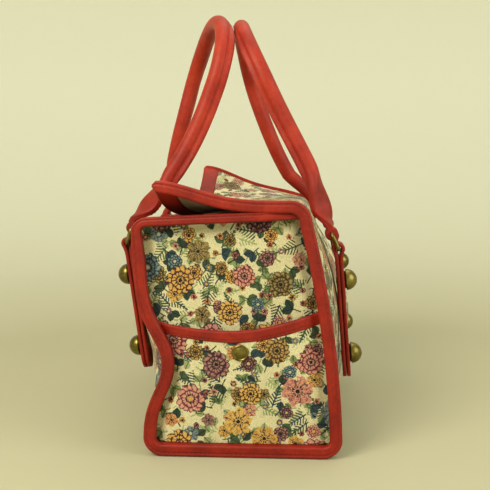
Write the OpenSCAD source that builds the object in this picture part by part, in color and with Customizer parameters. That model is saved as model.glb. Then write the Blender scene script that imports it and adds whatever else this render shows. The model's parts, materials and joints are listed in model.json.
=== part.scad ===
// Structured handbag with a fold-over top flap, bound end panels with
// slip pockets, and two rolled handles that swing on wire rings.
// X runs along the bag, the front faces -Y, and the base stands on Z = 0.

/* [Body] */
// Length of the wrapped panels, end to end
body_length = 256; // [210:1:300]
// Depth of the base from front edge to back edge
base_depth = 132; // [116:1:150]
// Height of the front rim above the base
front_height = 160; // [148:1:172]
// Height at which the back panel starts to turn over into the flap
back_height = 162; // [152:1:176]
// Thickness of the tapestry panels with their interlining
panel_t = 2; // [1.4:0.1:2.4]
// Radius of the fold between walls and base
corner_r = 11; // [8:1:14]
// Outward bulge of the front wall at mid length
front_bulge = 14; // [6:1:16]
// Outward bulge of the back wall at mid length
back_bulge = 10; // [6:1:14]
// How far the front rim stands out past the base
front_lean = 6; // [2:1:9]
// How far the back wall leans in at its top
back_lean = 20; // [12:1:24]
// Depth of the crease in the front edge of each end panel
crease_depth = 16; // [6:1:18]
// Height of that crease
crease_height = 64; // [54:1:74]

/* [Flap] */
// Radius of the fold from the back wall into the flap
fold_r = 12; // [10:0.5:14]
// Distance from the bag's centre plane to the flap's free edge
flap_front = 60; // [52:1:64]
// Rise of the flap's free edge above the fold at mid length
flap_rise = 8; // [5:0.5:12]
// Extra rise of the free corner at the right end
flap_corner_rise = 6.5; // [2:0.5:9]
// Extra rise of the free corner at the left end
flap_far_rise = 12.5; // [4:0.5:14]
// How far the front handle pushes the free edge in
flap_dent = 11; // [9:1:14]
// Width of the leather band along the free edge
flap_band = 15; // [10:1:20]

/* [Ends] */
// Inward dish of each end panel
end_dish = 6; // [3:0.5:8]
// Height of the end's top seam over the front rim, at the front
end_lift_front = 3.5; // [2:0.5:5]
// Height of the end's top seam over the back wall, at the back
end_lift_back = 2.5; // [0:0.5:2.5]
// Radius of the end's top corner at the front
end_corner_r = 8; // [7:0.5:10]
// Height of the pocket's top edge at the front
pocket_height = 94; // [80:1:110]
// How much higher that edge is at the back
pocket_slope = 7; // [0:1:12]
// Sag of the pocket's top edge
pocket_sag = 9; // [0:1:14]
// Outward swell of the pocket
pocket_swell = 3; // [1:0.5:4]
// Diameter of the pocket's snap cap
snap_d = 11.5; // [9:0.5:13]
// Distance of the snap below the pocket's top edge
snap_drop = 15; // [14.5:0.5:20]

/* [Leather edging] */
// Width of the edge binding, seen from the end
binding_w = 8.6; // [7:0.2:10]
// Reach of the edge binding past the panels' edges
binding_reach = 6.4; // [5:0.2:8]
// Height of the bindings along rim, end tops and pockets
trim_h = 8; // [6:0.5:10]
// Thickness of those bindings
trim_t = 3.6; // [3:0.1:4.4]

/* [Straps and studs] */
// Distance of each strap from mid length
strap_x = 66; // [50:1:76]
// Width of the straps
strap_w = 18; // [14:1:20]
// Thickness of one layer of a strap
strap_layer = 2.7; // [2:0.1:3.2]
// Length of a strap below its loop
strap_l = 98; // [90:1:104]
// Distance of the front straps' loops below the rim
front_loop_drop = 16; // [13:1:22]
// Distance of the back straps' loops below the turn of the flap
back_loop_drop = 23; // [19:1:28]
// Diameter of the ball studs
stud_d = 16; // [12:0.5:18]
// Upper stud's distance below the loop
stud_upper = 24; // [20:1:28]
// Lower stud's distance below the loop
stud_lower = 80; // [72:1:84]
// Diameter of the stud shanks
shank_d = 4; // [3:0.25:5]

/* [Rings and handles] */
// Diameter of the ring wire
wire_d = 3.2; // [2.6:0.1:3.6]
// Distance between a ring's two long bars
ring_h = 12.4; // [12:0.2:15]
// Inward tilt of the front rings
front_ring_tilt = 20; // [10:1:24]
// Inward tilt of the back rings
back_ring_tilt = 24; // [14:1:28]
// Diameter of the rolled handles
handle_d = 17; // [12:0.5:18]
// Height of the handles' centre line over the front straps' loops
handle_h = 175; // [150:1:195]
// Half the width of the handles' arch
arch_r = 54; // [46:1:58]
// Gap between the two handles at the top
handle_gap = 3.5; // [3:0.25:8]
// Twist of the front handle, as the slope of its top across the bag
front_twist = 0.33; // [0:0.01:0.34]
// Twist of the back handle
back_twist = 0.2; // [0.18:0.01:0.3]
// Distance of the handles' meeting place in front of the bag's middle
handle_meet = 23; // [10:1:28]

/* [Hidden] */
$fn = 48;
gap = 0.3;
fit = 0.1;
washer_t = 1;
washer_rim = 4;
washer_gap = 0.9;
leather = "#b03428";
tapestry = "#d8cfa4";
taupe = "#8d7765";
brass = "#8f7a3a";
half_l = body_length / 2;
half_d = base_depth / 2;
end_top_front = front_height + end_lift_front;
end_top_back = back_height + end_lift_back;
front_loop_z = front_height - front_loop_drop;
back_loop_z = back_height - back_loop_drop;
handle_top_z = front_loop_z + handle_h;

// Weight of the bulge, 1 at mid length and 0 at the ends
function mid(x) = 1 - pow(min(1, abs(x) / half_l), 3);
function wave(z, h, turn, p) = sin(turn * pow(z / h, p));
function crease(z) = exp(-pow((z - crease_height) / 27, 2));

// Outer faces of the front and back walls, folds left out
function wall_f(x, z) = -half_d - front_lean * z / front_height
    - front_bulge * mid(x) * wave(z, front_height + 6, 158, 1.3)
    + crease_depth * (1 - mid(x)) * crease(z);
function wall_b(x, z) = half_d - back_lean * pow(z / back_height, 2)
    + back_bulge * mid(x) * wave(z, back_height, 172, 1.6);

// The same faces with the folds, moved in by c toward the inside of the bag
function fold_in(z, c) = z >= corner_r ? 0
    : (corner_r - c) - sqrt(max(0, pow(corner_r - c, 2) - pow(corner_r - z, 2)));
function turn_in(z, c) = z <= back_height ? 0
    : (fold_r - c) - sqrt(max(0, pow(fold_r - c, 2) - pow(z - back_height, 2)));
function yf(x, z, c = 0) = wall_f(x, max(z, corner_r)) + c + fold_in(z, c);
function yb(x, z, c = 0) = wall_b(x, min(back_height, max(z, corner_r))) - c - fold_in(z, c) - turn_in(z, c);

// Flap from the fold (u = 0) to its free edge (u = 1)
fold_top = back_height + fold_r;
function fold_y(x) = wall_b(x, back_height) - fold_r;
function free_y(x) = -flap_front + flap_dent * exp(-pow((x - strap_x) / 38, 2));
function free_rise(x) = flap_rise + (x > 0 ? flap_corner_rise : flap_far_rise) * pow(x / half_l, 2);
function flap_pt(x, u) = [x, fold_y(x) + (free_y(x) - fold_y(x)) * u,
    fold_top + free_rise(x) * (1 - cos(180 * pow(u, 1.6))) / 2];
function band_u(x) = 1 - flap_band / (fold_y(x) - free_y(x));

// Grids: rows run up the wall or along the flap, columns run along X
cols = 16;
wall_rows = 10;
flap_rows = 7;
function col_x(j) = half_l * (2 * j / cols - 1);
function fold_z(i) = corner_r * (1 - cos(22.5 * i));
function wall_z(i, top) = i < 4 ? fold_z(i) : corner_r + (top - corner_r) * (i - 4) / wall_rows;
function front_grid() = [for (i = [0:4 + wall_rows]) [for (j = [0:cols])
    let (x = col_x(j), z = wall_z(i, front_height - trim_h - gap)) [x, yf(x, z), z]]];
function back_grid(w = 1, l = 1) = concat(
    [for (i = [0:4 + wall_rows]) [for (j = [0:cols])
        let (x = w * col_x(j), z = wall_z(i, back_height)) [x, yb(x, z), z]]],
    [for (k = [1:4]) [for (j = [0:cols]) let (x = w * col_x(j))
        [x, fold_y(x) + fold_r * cos(22.5 * k), back_height + fold_r * sin(22.5 * k)]]],
    [for (k = [1:flap_rows]) [for (j = [0:cols])
        let (x = w * col_x(j)) flap_pt(x, l * band_u(x) * k / flap_rows)]]);
function band_grid() = [for (k = [0:3]) [for (j = [0:cols]) let (x = col_x(j) * (1 - gap / half_l), b = band_u(x))
    flap_pt(x, b + 0.004 + (0.996 - b) * k / 3)]];

// Normal to the rows in the YZ plane, and a grid moved along it
function side(v) = [0, v[2], -v[1]] / norm([0, v[2], -v[1]]);
function slope(g, i, j) = g[min(i + 1, len(g) - 1)][j] - g[max(i - 1, 0)][j];
function moved(g, s, t) = [for (i = [0:len(g) - 1]) [for (j = [0:len(g[0]) - 1])
    g[i][j] + s * t * side(slope(g, i, j))]];
function pushed(g, d) = [for (r = g) [for (p = r) p + d]];

// Solid between two grids of the same size
module slab(a, b, flip = false) {
    n = len(a);
    m = len(a[0]);
    o = n * m;
    quads = concat(
        [for (i = [0:n - 2]) for (j = [0:m - 2]) [i * m + j, i * m + j + 1, (i + 1) * m + j + 1, (i + 1) * m + j]],
        [for (i = [0:n - 2]) for (j = [0:m - 2])
            [o + i * m + j, o + (i + 1) * m + j, o + (i + 1) * m + j + 1, o + i * m + j + 1]],
        [for (j = [0:m - 2]) [j + 1, j, o + j, o + j + 1]],
        [for (j = [0:m - 2]) let (k = (n - 1) * m + j) [k, k + 1, o + k + 1, o + k]],
        [for (i = [0:n - 2]) let (k = i * m) [k, k + m, o + k + m, o + k]],
        [for (i = [0:n - 2]) let (k = i * m + m - 1) [k + m, k, o + k, o + k + m]]);
    tris = [for (q = quads) for (t = [[q[0], q[1], q[2]], [q[0], q[2], q[3]]]) flip ? [t[2], t[1], t[0]] : t];
    polyhedron([for (g = [a, b]) for (r = g) for (p = r) p], tris);
}

// Solid swept through closed sections with the same number of points
module sweep(s, flip = false) {
    n = len(s);
    m = len(s[0]);
    tris = concat(
        [for (i = [0:n - 2]) for (k = [0:m - 1]) let (l = (k + 1) % m, a = i * m + k, b = i * m + l)
            each [[a, b, b + m], [a, b + m, a + m]]],
        [for (k = [1:m - 2]) [0, k + 1, k]],
        [for (k = [1:m - 2]) let (o = (n - 1) * m) [o, o + k, o + k + 1]]);
    polyhedron([for (r = s) for (p = r) p], [for (t = tris) flip ? [t[2], t[1], t[0]] : t]);
}

// Tapestry wrap: front wall, base, and back wall with the flap
module front_panel() color(tapestry) difference() {
    slab(front_grid(), moved(front_grid(), -1, -panel_t), true);
    for (x = [-strap_x, strap_x]) front_strap_place(x) stud_places() shank_bore();
}

module back_panel() color(tapestry) difference() {
    slab(back_grid(), moved(back_grid(), 1, -panel_t));
    for (x = [-strap_x, strap_x]) back_strap_place(x) stud_places() shank_bore();
}

module base_panel() color(tapestry) linear_extrude(panel_t) base_outline(gap + 0.5, half_l - gap);

module base_board() color(taupe) translate([0, 0, panel_t + gap]) linear_extrude(board_t) base_outline(4, lining_x + 2);

module base_outline(c, l) {
    xs = [for (j = [0:cols]) col_x(j) * l / half_l];
    polygon(concat([for (x = xs) [x, yf(x, 0) + c]], [for (j = [cols:-1:0]) [xs[j], yb(xs[j], 0) - c]]));
}

// Lining: an open sack inside the panels, and the facing under the flap
lining_in = panel_t + washer_gap + washer_t + 1.3;
board_t = 2;
lining_z = panel_t + board_t + 2 * gap;
lining_x = half_l - 1.5 - end_dish - panel_t - trim_t / 2 - gap;
lining_t = 1;
function sack_xy(k, z, c) = let (l = lining_x - c)
    k <= 12 ? let (x = l * (k / 6 - 1)) [x, yf(x, z, lining_in + c)]
    : k < 16 ? let (w = (k - 12) / 4) [l, yf(l, z, lining_in + c) * (1 - w) + yb(l, z, lining_in + c) * w]
    : k <= 28 ? let (x = l * (1 - (k - 16) / 6)) [x, yb(x, z, lining_in + c)]
    : let (w = (k - 28) / 4) [-l, yb(l, z, lining_in + c) * (1 - w) + yf(l, z, lining_in + c) * w];
function sack_top(k) = k <= 12 ? front_height - 1
    : k < 16 ? end_top(0.25 * (k - 12)) - 4
    : k <= 28 ? back_height - 2
    : end_top(1 - 0.25 * (k - 28)) - 4;
function sack_ring(i, c) = [for (k = [0:31]) let (
    z = i == 0 ? lining_z + c : i == 1 ? corner_r * 0.68 : i == 2 ? corner_r
        : corner_r + (sack_top(k) - corner_r) * (i - 2) / 6,
    p = sack_xy(k, z, c)) [p[0], p[1], z]];

module lining() color(taupe) {
    n = 9;
    m = 32;
    o = n * m;
    tris = concat(
        [for (i = [0:n - 2]) for (k = [0:m - 1]) let (l = (k + 1) % m, a = i * m + k, b = i * m + l)
            each [[a, b + m, b], [a, a + m, b + m], [o + a, o + b, o + b + m], [o + a, o + b + m, o + a + m]]],
        [for (k = [0:m - 1]) let (l = (k + 1) % m, a = (n - 1) * m + k, b = (n - 1) * m + l)
            each [[a, o + a, o + b], [a, o + b, b]]],
        [[for (k = [0:m - 1]) k], [for (k = [m - 1:-1:0]) o + k]]);
    polyhedron([for (c = [0, lining_t]) for (i = [0:n - 1]) each sack_ring(i, c)], tris);
}

module flap_lining() color(taupe) {
    b = back_grid((half_l - 5) / half_l, 0.985);
    g = [for (i = [2 + wall_rows:len(b) - 1]) b[i]];
    slab(moved(g, 1, -panel_t - 2 * gap), moved(g, 1, -panel_t - 2 * gap - 0.8));
}

// Leather along the flap's free edge and along the front rim
module flap_band() color(leather)
    slab(moved(band_grid(), 1, 0.8), moved(band_grid(), 1, 0.8 - trim_t - 1));

module rim_binding() color(leather) {
    g = [for (i = [0:2]) [for (j = [0:cols]) let (x = col_x(j), z = front_height - trim_h * (1 - i / 2)) [x, yf(x, z), z]]];
    slab(moved(g, -1, 0.8), moved(g, -1, 0.8 - trim_t), true);
}

// End panels, drawn for the right end
end_in = panel_t * 1.15 + gap;
function end_top(u) = end_top_front + (end_top_back - end_top_front) * u;
function pocket_top(u) = pocket_height + pocket_slope * u - pocket_sag * sin(180 * u);
function swell(u, v) = sin(180 * u) * sin(180 * min(1, max(0, v)));
function end_pt(u, z, c, x) = [x, yf(half_l, z, c) * (1 - u) + yb(half_l, z, c) * u, z];
function end_x(u, z) = half_l - 1.5 - end_dish * swell(u, pow(z / end_top(u), 0.8));
function end_grid(lo, hi, rows) = [for (i = [0:rows]) [for (j = [0:10]) let (
    u = j / 10, z = lo(u) + (hi(u) - lo(u)) * i / rows) end_pt(u, z, end_in, end_x(u, z))]];

module end_panel() color(tapestry) difference() {
    g = end_grid(function(u) end_in, function(u) end_top(u) - 2, 12);
    slab(g, pushed(g, [-panel_t, 0, 0]), true);
    snap_place() cylinder(d = snap_post + 4 * fit, h = 40, center = true);
}

// Pocket on the lower half of an end, inside the edge binding
seam_out = 3;
pocket_z = binding_w + gap;
function pocket_in(z) = 1.3 * (binding_w - seam_out) + gap + 0.6 * max(0, 1 - (z - pocket_z) / 7);
function pocket_x(u, z) = half_l + 0.9 + pocket_swell * swell(u, (z - pocket_z) / (pocket_top(u) - pocket_z) * 0.6 + 0.05);
function pocket_grid(lo, hi, rows) = [for (i = [0:rows]) [for (j = [0:10]) let (
    u = j / 10, z = lo(u) + (hi(u) - lo(u)) * i / rows) end_pt(u, z, pocket_in(z), pocket_x(u, z))]];

module end_pocket() color(tapestry) difference() {
    g = pocket_grid(function(u) pocket_z, function(u) pocket_top(u) - trim_h - gap, 8);
    slab(g, pushed(g, [-panel_t, 0, 0]), true);
    snap_place() cylinder(d = snap_post + 4 * fit, h = 40, center = true);
}

module pocket_binding() color(leather) {
    g = pocket_grid(function(u) pocket_top(u) - trim_h, function(u) pocket_top(u), 2);
    slab(pushed(g, [0.7, 0, 0]), pushed(g, [0.7 - trim_t + 0.3, 0, 0]), true);
}

// Snap: a cap with a magnet on the pocket, and its socket on the end panel behind
snap_u = 0.46;
snap_post = 4;
snap_t = 2;
snap_z = pocket_top(snap_u) - snap_drop;
snap_y = end_pt(snap_u, snap_z, pocket_in(snap_z), 0)[1];
snap_cap_x = pocket_x(snap_u, snap_z);
snap_socket_x = half_l - 1.5 - end_dish * swell(0.5, pow(snap_z / end_top(snap_u), 0.8));
module snap_place() translate([half_l, snap_y, snap_z]) rotate([0, 90, 0]) children();
module snap_lift(x) translate([0, 0, x - half_l]) children();

module snap_cap() color(brass) snap_place() {
    snap_lift(snap_cap_x + gap) difference() {
        translate([0, 0, snap_t - snap_d]) sphere(d = 2 * snap_d, $fn = 96);
        translate([0, 0, -2 * snap_d]) cube(4 * snap_d, center = true);
        difference() {
            cylinder(d = 4 * snap_d, h = 2 * snap_t);
            translate([0, 0, -1]) cylinder(d = snap_d, h = 2 * snap_t + 2);
        }
    }
    snap_lift(snap_cap_x - panel_t - gap - snap_t) {
        cylinder(d = snap_d, h = snap_t);
        cylinder(d = snap_post, h = snap_t + panel_t + 2 * gap + 0.5);
    }
}

module snap_socket() color(brass) snap_place() {
    snap_lift(snap_socket_x + gap) cylinder(d = snap_d, h = snap_t - 0.5);
    snap_lift(snap_socket_x - panel_t - 0.5) cylinder(d = snap_post, h = panel_t + 1);
}

// Binding over the seam along an end's top, round the end and on along the flap's edge
function seam_path(x) = let (z0 = end_top(0), r = end_corner_r, y0 = yf(x, z0 - r) + r, y1 = fold_y(x) + 2) concat(
    [for (k = [0:7]) [0, y1 + (y0 - y1) * k / 8, end_top(1) + (z0 - end_top(1)) * k / 8]],
    [for (a = [90:22.5:157.5]) [0, y0 + r * cos(a), z0 - r + r * sin(a)]],
    [for (i = [4 + wall_rows:-1:0]) let (z = wall_z(i, z0 - r)) [0, yf(x, z), z]],
    [for (k = [1:4]) [0, yf(x, 0) + (yb(x, 0) - yf(x, 0)) * k / 5, 0]],
    [for (i = [0:4 + wall_rows]) let (z = wall_z(i, back_height)) [0, yb(x, z), z]],
    [for (k = [1:4]) [0, fold_y(x) + fold_r * cos(22.5 * k), back_height + fold_r * sin(22.5 * k)]],
    [for (k = [1:8]) let (p = flap_pt(x, k / 8)) [0, p[1], p[2]]]);
function seam_section(p, n, s) = let (
    out = seam_out * (1 - max(0, -n[2])), low = out - binding_w, r = binding_reach,
    pts = [[gap, low], [r - 2, low], [r - 0.6, low + 0.7], [r, low + 2.2],
        [r, out - 2.2], [r - 0.6, out - 0.7], [r - 2, out], [gap, out]])
    [for (q = pts) [s * (half_l + q[0]), p[1] + q[1] * n[1], p[2] + q[1] * n[2]]];
function seam_sections(s) = let (p = seam_path(s * half_l), l = len(p) - 1)
    [for (i = [0:l]) seam_section(p[i], side(p[min(i + 1, l)] - p[max(i - 1, 0)]), s)];

module seam_binding(s) color(leather) sweep(seam_sections(s), s > 0);

// Straps: a leather strip folded round a ring, both layers studded to the wall
slit = 0.4;
strap_t = 2 * strap_layer + slit;
loop_bore = wire_d / 2 + 0.5;
loop_r = loop_bore + strap_layer + 0.2;
function stand(w, z0, lean) = max([for (k = [0:12]) for (dx = [-strap_w / 2, strap_w / 2])
    let (z = z0 - strap_l - 4 + (strap_l + 2) * k / 12) (w(strap_x + dx, z) - w(strap_x, z0 - stud_upper)
        - lean * (z - z0 + stud_upper))]);
front_out = function(x, z) -yf(x, z);
back_out = function(x, z) yb(x, z);
function strap_lean(w, z0) = (w(strap_x, z0 - stud_upper) - w(strap_x, z0 - stud_lower)) / (stud_lower - stud_upper);
front_lean_a = strap_lean(front_out, front_loop_z);
back_lean_a = strap_lean(back_out, back_loop_z);

// Distance from a strap's middle to the wall behind its studs, and place of the loops
front_stand = stand(front_out, front_loop_z, front_lean_a) + strap_t / 2 + gap;
back_stand = stand(back_out, back_loop_z, back_lean_a) + strap_t / 2 + gap;
front_loop_y = front_out(strap_x, front_loop_z - stud_upper) + front_lean_a * stud_upper + front_stand;
back_loop_y = back_out(strap_x, back_loop_z - stud_upper) + back_lean_a * stud_upper + back_stand;

// Strap frame: origin at the loop, Y out from the wall, Z up along the strap
module front_strap_place(x) translate([x, -front_loop_y, front_loop_z]) rotate([atan(front_lean_a), 0, 0])
    mirror([0, 1, 0]) children();
module back_strap_place(x) translate([x, back_loop_y, back_loop_z]) rotate([-atan(back_lean_a), 0, 0]) children();
module stud_places() for (d = [stud_upper, stud_lower]) translate([0, 0, -d]) rotate([-90, 0, 0]) children();
module shank_bore() translate([0, 0, -20]) cylinder(d = shank_d + 4 * fit, h = 30);

module strap() color(leather) difference() {
    union() {
        rotate([0, 90, 0]) cylinder(r = loop_r, h = strap_w, center = true);
        translate([-strap_w / 2, -strap_t / 2, -strap_l + strap_w / 2])
            cube([strap_w, strap_t, strap_l - strap_w / 2]);
        translate([0, 0, -strap_l + strap_w / 2]) rotate([90, 0, 0])
            cylinder(d = strap_w, h = strap_t, center = true);
    }
    rotate([0, 90, 0]) cylinder(r = loop_bore, h = strap_w + 2, center = true);
    translate([-strap_w / 2 - 1, -slit / 2, -strap_l - 1]) cube([strap_w + 2, slit, strap_l]);
    stud_places() shank_bore();
}

// A stud's shank ends flush with the inner face of its washer
module ball_stud(wall) {
    difference() {
        translate([0, 0, strap_t / 2 + 0.1 * stud_d]) sphere(d = stud_d);
        translate([-stud_d, -stud_d, strap_t / 2 + fit - 2 * stud_d]) cube(2 * stud_d);
    }
    reach = wall + panel_t + washer_gap + washer_t;
    translate([0, 0, -reach]) cylinder(d = shank_d, h = reach + strap_t / 2 + 1);
}

module stud_washer(wall) translate([0, 0, -wall - panel_t - washer_gap - washer_t]) difference() {
    cylinder(d = shank_d + washer_rim, h = washer_t);
    translate([0, 0, -1]) cylinder(d = shank_d + 2 * fit, h = washer_t + 2);
}

module ball_studs() color(brass) for (x = [-strap_x, strap_x]) {
    front_strap_place(x) stud_places() ball_stud(front_stand);
    back_strap_place(x) stud_places() ball_stud(back_stand);
}

module stud_washers() color(brass) for (x = [-strap_x, strap_x]) {
    front_strap_place(x) stud_places() stud_washer(front_stand);
    back_strap_place(x) stud_places() stud_washer(back_stand);
}

// Rings: wire bent to a rounded oblong, long bars along X
ring_x = strap_w / 2 + 1 + wire_d / 2;
ring_bend = 3;
module ring() color(brass) {
    for (z = [0, ring_h]) translate([0, 0, z]) rotate([0, 90, 0])
        cylinder(d = wire_d, h = 2 * (ring_x - ring_bend), center = true);
    for (x = [-ring_x, ring_x]) translate([x, 0, ring_bend]) cylinder(d = wire_d, h = ring_h - 2 * ring_bend);
    for (x = [0, 1]) mirror([x, 0, 0]) for (z = [0, 1]) translate([0, 0, z * ring_h]) mirror([0, 0, z])
        translate([ring_x - ring_bend, 0, ring_bend]) rotate([90, 0, 0]) rotate([0, 0, -90])
            rotate_extrude(angle = 90) translate([ring_bend, 0]) circle(d = wire_d);
}
module front_ring(x) translate([x, -front_loop_y, front_loop_z]) rotate([-front_ring_tilt, 0, 0]) ring();
module back_ring(x) translate([x, back_loop_y, back_loop_z]) rotate([back_ring_tilt, 0, 0]) ring();

// Handles: the ends are flat and folded round a ring, the rest is a roll.
// Each leans in toward the middle and twists a little along X.
front_bar = [-front_loop_y + ring_h * sin(front_ring_tilt), front_loop_z + ring_h * cos(front_ring_tilt)];
back_bar = [back_loop_y - ring_h * sin(back_ring_tilt), back_loop_z + ring_h * cos(back_ring_tilt)];
front_top_y = -handle_meet - (handle_d + handle_gap) / 2;
back_top_y = -handle_meet + (handle_d + handle_gap) / 2;
arch_z = handle_top_z - arch_r;
handle_n = 44;
function handle_xz(t, z0) = let (leg = arch_z - z0, arc = 3.1416 * arch_r / 2, s = abs(t) * (leg + arc))
    s < arc ? [arch_r * sin(90 * s / arc), arch_z + arch_r * cos(90 * s / arc)]
    : let (w = (s - arc) / leg) [arch_r + (strap_x - arch_r) * (3 * w * w - 2 * w * w * w), arch_z - leg * w];
function lean_in(s) = 1 - pow(1 - pow(s, 1.15), 1.6);
function handle_pt(t, bar, top_y, twist) = let (
    p = handle_xz(t, bar[1]), s = max(0, min(1, (p[1] - bar[1]) / (handle_top_z - bar[1]))), x = p[0] * sign(t))
    [x, bar[0] + (top_y - bar[0]) * lean_in(s) + x * twist(s), p[1]];
function handle_path(bar, top_y, twist) = [for (i = [0:handle_n])
    let (w = 1 - 2 * i / handle_n) handle_pt(sign(w) * pow(abs(w), 0.9), bar, top_y, twist)];

// Section i of a roll: flat at the ends, round along the middle
function roll_ring(p, i) = let (
    l = len(p) - 1, d = p[min(i + 1, l)] - p[max(i - 1, 0)], f = d / norm(d),
    y = [0, 1, 0] - f * f[1], v = y / norm(y), h = cross(f, v),
    e = min(norm(p[i] - p[0]), norm(p[i] - p[l])), k = min(1, max(0, (e - 16) / 26)), b = k * k * (3 - 2 * k),
    rx = strap_w / 2 * (1 - b) + handle_d / 2 * b, ry = strap_t / 2 * (1 - b) + handle_d / 2 * b,
    q = 0.35 + 0.65 * b)
    [for (a = [0:30:330]) p[i] + h * rx * sign(cos(a)) * pow(abs(cos(a)), q)
        + v * ry * sign(sin(a)) * pow(abs(sin(a)), q)];

module handle(bar, top_y, twist) color(leather) {
    p = handle_path(bar, top_y, twist);
    difference() {
        union() {
            sweep([for (i = [0:handle_n]) roll_ring(p, i)]);
            for (x = [-strap_x, strap_x]) translate([x, bar[0], bar[1]]) rotate([0, 90, 0])
                cylinder(r = loop_r, h = strap_w, center = true);
        }
        for (x = [-strap_x, strap_x]) translate([x, bar[0], bar[1]]) rotate([0, 90, 0])
            cylinder(r = loop_bore, h = strap_w + 8, center = true);
    }
}

module handle_front() handle(front_bar, front_top_y, function(s) front_twist * pow(s, 0.8));
module handle_back() handle(back_bar, back_top_y,
    function(s) back_twist * pow(sin(90 * min(1, max(0, (s - 0.08) * 2.4))), 2));

front_panel();
back_panel();
base_panel();
base_board();
lining();
flap_lining();
flap_band();
rim_binding();
end_panel();  // end_panel_right
mirror([1, 0, 0]) end_panel();  // end_panel_left
end_pocket();  // end_pocket_right
mirror([1, 0, 0]) end_pocket();  // end_pocket_left
pocket_binding();  // pocket_binding_right
mirror([1, 0, 0]) pocket_binding();  // pocket_binding_left
snap_cap();  // snap_cap_right
mirror([1, 0, 0]) snap_cap();  // snap_cap_left
snap_socket();  // snap_socket_right
mirror([1, 0, 0]) snap_socket();  // snap_socket_left
seam_binding(1);  // seam_binding_right
seam_binding(-1);  // seam_binding_left
front_strap_place(strap_x) strap();  // strap_front_right
front_strap_place(-strap_x) strap();  // strap_front_left
back_strap_place(strap_x) strap();  // strap_back_right
back_strap_place(-strap_x) strap();  // strap_back_left
ball_studs();
stud_washers();
front_ring(strap_x);  // ring_front_right
front_ring(-strap_x);  // ring_front_left
back_ring(strap_x);  // ring_back_right
back_ring(-strap_x);  // ring_back_left
handle_front();
handle_back();
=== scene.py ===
import json

import bmesh
import bpy
import numpy as np
from mathutils import Euler, Matrix, Vector


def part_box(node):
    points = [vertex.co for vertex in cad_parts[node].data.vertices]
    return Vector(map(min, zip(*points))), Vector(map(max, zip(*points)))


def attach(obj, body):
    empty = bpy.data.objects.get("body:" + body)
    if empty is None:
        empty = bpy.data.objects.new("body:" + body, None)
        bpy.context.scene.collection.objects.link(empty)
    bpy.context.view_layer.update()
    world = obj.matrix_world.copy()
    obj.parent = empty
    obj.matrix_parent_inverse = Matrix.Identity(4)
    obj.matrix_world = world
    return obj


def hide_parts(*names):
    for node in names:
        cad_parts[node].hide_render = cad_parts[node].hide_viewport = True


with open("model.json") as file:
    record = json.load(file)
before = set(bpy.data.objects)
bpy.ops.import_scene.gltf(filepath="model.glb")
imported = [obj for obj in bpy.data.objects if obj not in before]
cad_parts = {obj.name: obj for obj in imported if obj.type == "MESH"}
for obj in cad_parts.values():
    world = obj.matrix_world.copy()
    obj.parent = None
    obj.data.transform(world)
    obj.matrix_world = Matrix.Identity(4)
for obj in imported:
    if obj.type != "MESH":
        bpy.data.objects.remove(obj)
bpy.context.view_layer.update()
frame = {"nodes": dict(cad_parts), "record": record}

# Tapestry walls. One length of woven floral cloth, stiffened with an interlining, makes the front,
# the base and the back, and the back runs on over the top as the flap. Sizes are in millimetres and
# follow the solids: a soft bulge at mid length, and a crease in the front edge of each end.
MM = 0.001
HALF_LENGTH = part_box("front_panel")[1][0] / MM
HALF_DEPTH = 66
FRONT_HEIGHT = 160
BACK_HEIGHT = 162
CLOTH_T = 2
CORNER_R = 11
FOLD_R = 12
FOLD_TOP = BACK_HEIGHT + FOLD_R
FRONT_BULGE, BACK_BULGE = 14, 10
FRONT_BULGE_RUN = (FRONT_HEIGHT + 6, 158, 1.3)
BACK_BULGE_RUN = (BACK_HEIGHT, 172, 1.6)
BACK_STUFFING, STUFFING_W = 9.5, 29
FRONT_LEAN, BACK_LEAN = 6, 20
CREASE_DEPTH, CREASE_HEIGHT, CREASE_W = 16, 64, 27
STRAP_X = 66
TRIM_H = 8
FLAP_FRONT, FLAP_DENT, DENT_W, FLAP_BAND = 60, 11, 38, 15
FLAP_RISE, FLAP_CORNER_RISE, FLAP_FAR_RISE = 8, 6.5, 12.5
FLAP_FAR_LIFT, FLAP_SAG = 8, 15


def mid(x):
    """1 at mid length, 0 at the ends."""
    return 1 - np.minimum(1, np.abs(x) / HALF_LENGTH) ** 3


def wave(z, height, turn, power):
    """A bulge's outline up a wall: a sine that has gone through turn degrees at that height."""
    return np.sin(np.radians(turn) * (z / height) ** power)


def front_wall(x, z):
    """Y of the front cloth: leaning out, bulged at mid length and creased at the ends."""
    crease = np.exp(-((z - CREASE_HEIGHT) / CREASE_W) ** 2)
    return (-HALF_DEPTH - FRONT_LEAN * z / FRONT_HEIGHT
            - FRONT_BULGE * mid(x) * wave(z, *FRONT_BULGE_RUN)
            + CREASE_DEPTH * (1 - mid(x)) * crease)


def back_wall(x, z):
    """Y of the back cloth: leaning in towards its top, bulged and stuffed."""
    share = np.clip(z / BACK_HEIGHT, 0, 1)
    stuffed = BACK_STUFFING * np.exp(-(x / STUFFING_W) ** 2) * np.sin(np.pi * share) ** 1.2
    return (HALF_DEPTH - BACK_LEAN * (z / BACK_HEIGHT) ** 2
            + BACK_BULGE * mid(x) * wave(z, *BACK_BULGE_RUN) + stuffed)


def arc_in(radius, drop):
    """How far a fold of that radius stands in from the wall, drop past its start."""
    return radius - np.sqrt(np.maximum(0, radius ** 2 - np.maximum(0, drop) ** 2))


def front_y(x, z, c=0):
    """Y of the front with its bottom fold, or of a surface c inside it."""
    return front_wall(x, np.maximum(z, CORNER_R)) + c + arc_in(CORNER_R - c, CORNER_R - z)


def back_y(x, z, c=0):
    """Y of the back with its folds at base and top, or of a surface c inside it."""
    wall = back_wall(x, np.clip(z, CORNER_R, BACK_HEIGHT))
    return wall - c - arc_in(CORNER_R - c, CORNER_R - z) - arc_in(FOLD_R - c, z - BACK_HEIGHT)


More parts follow.
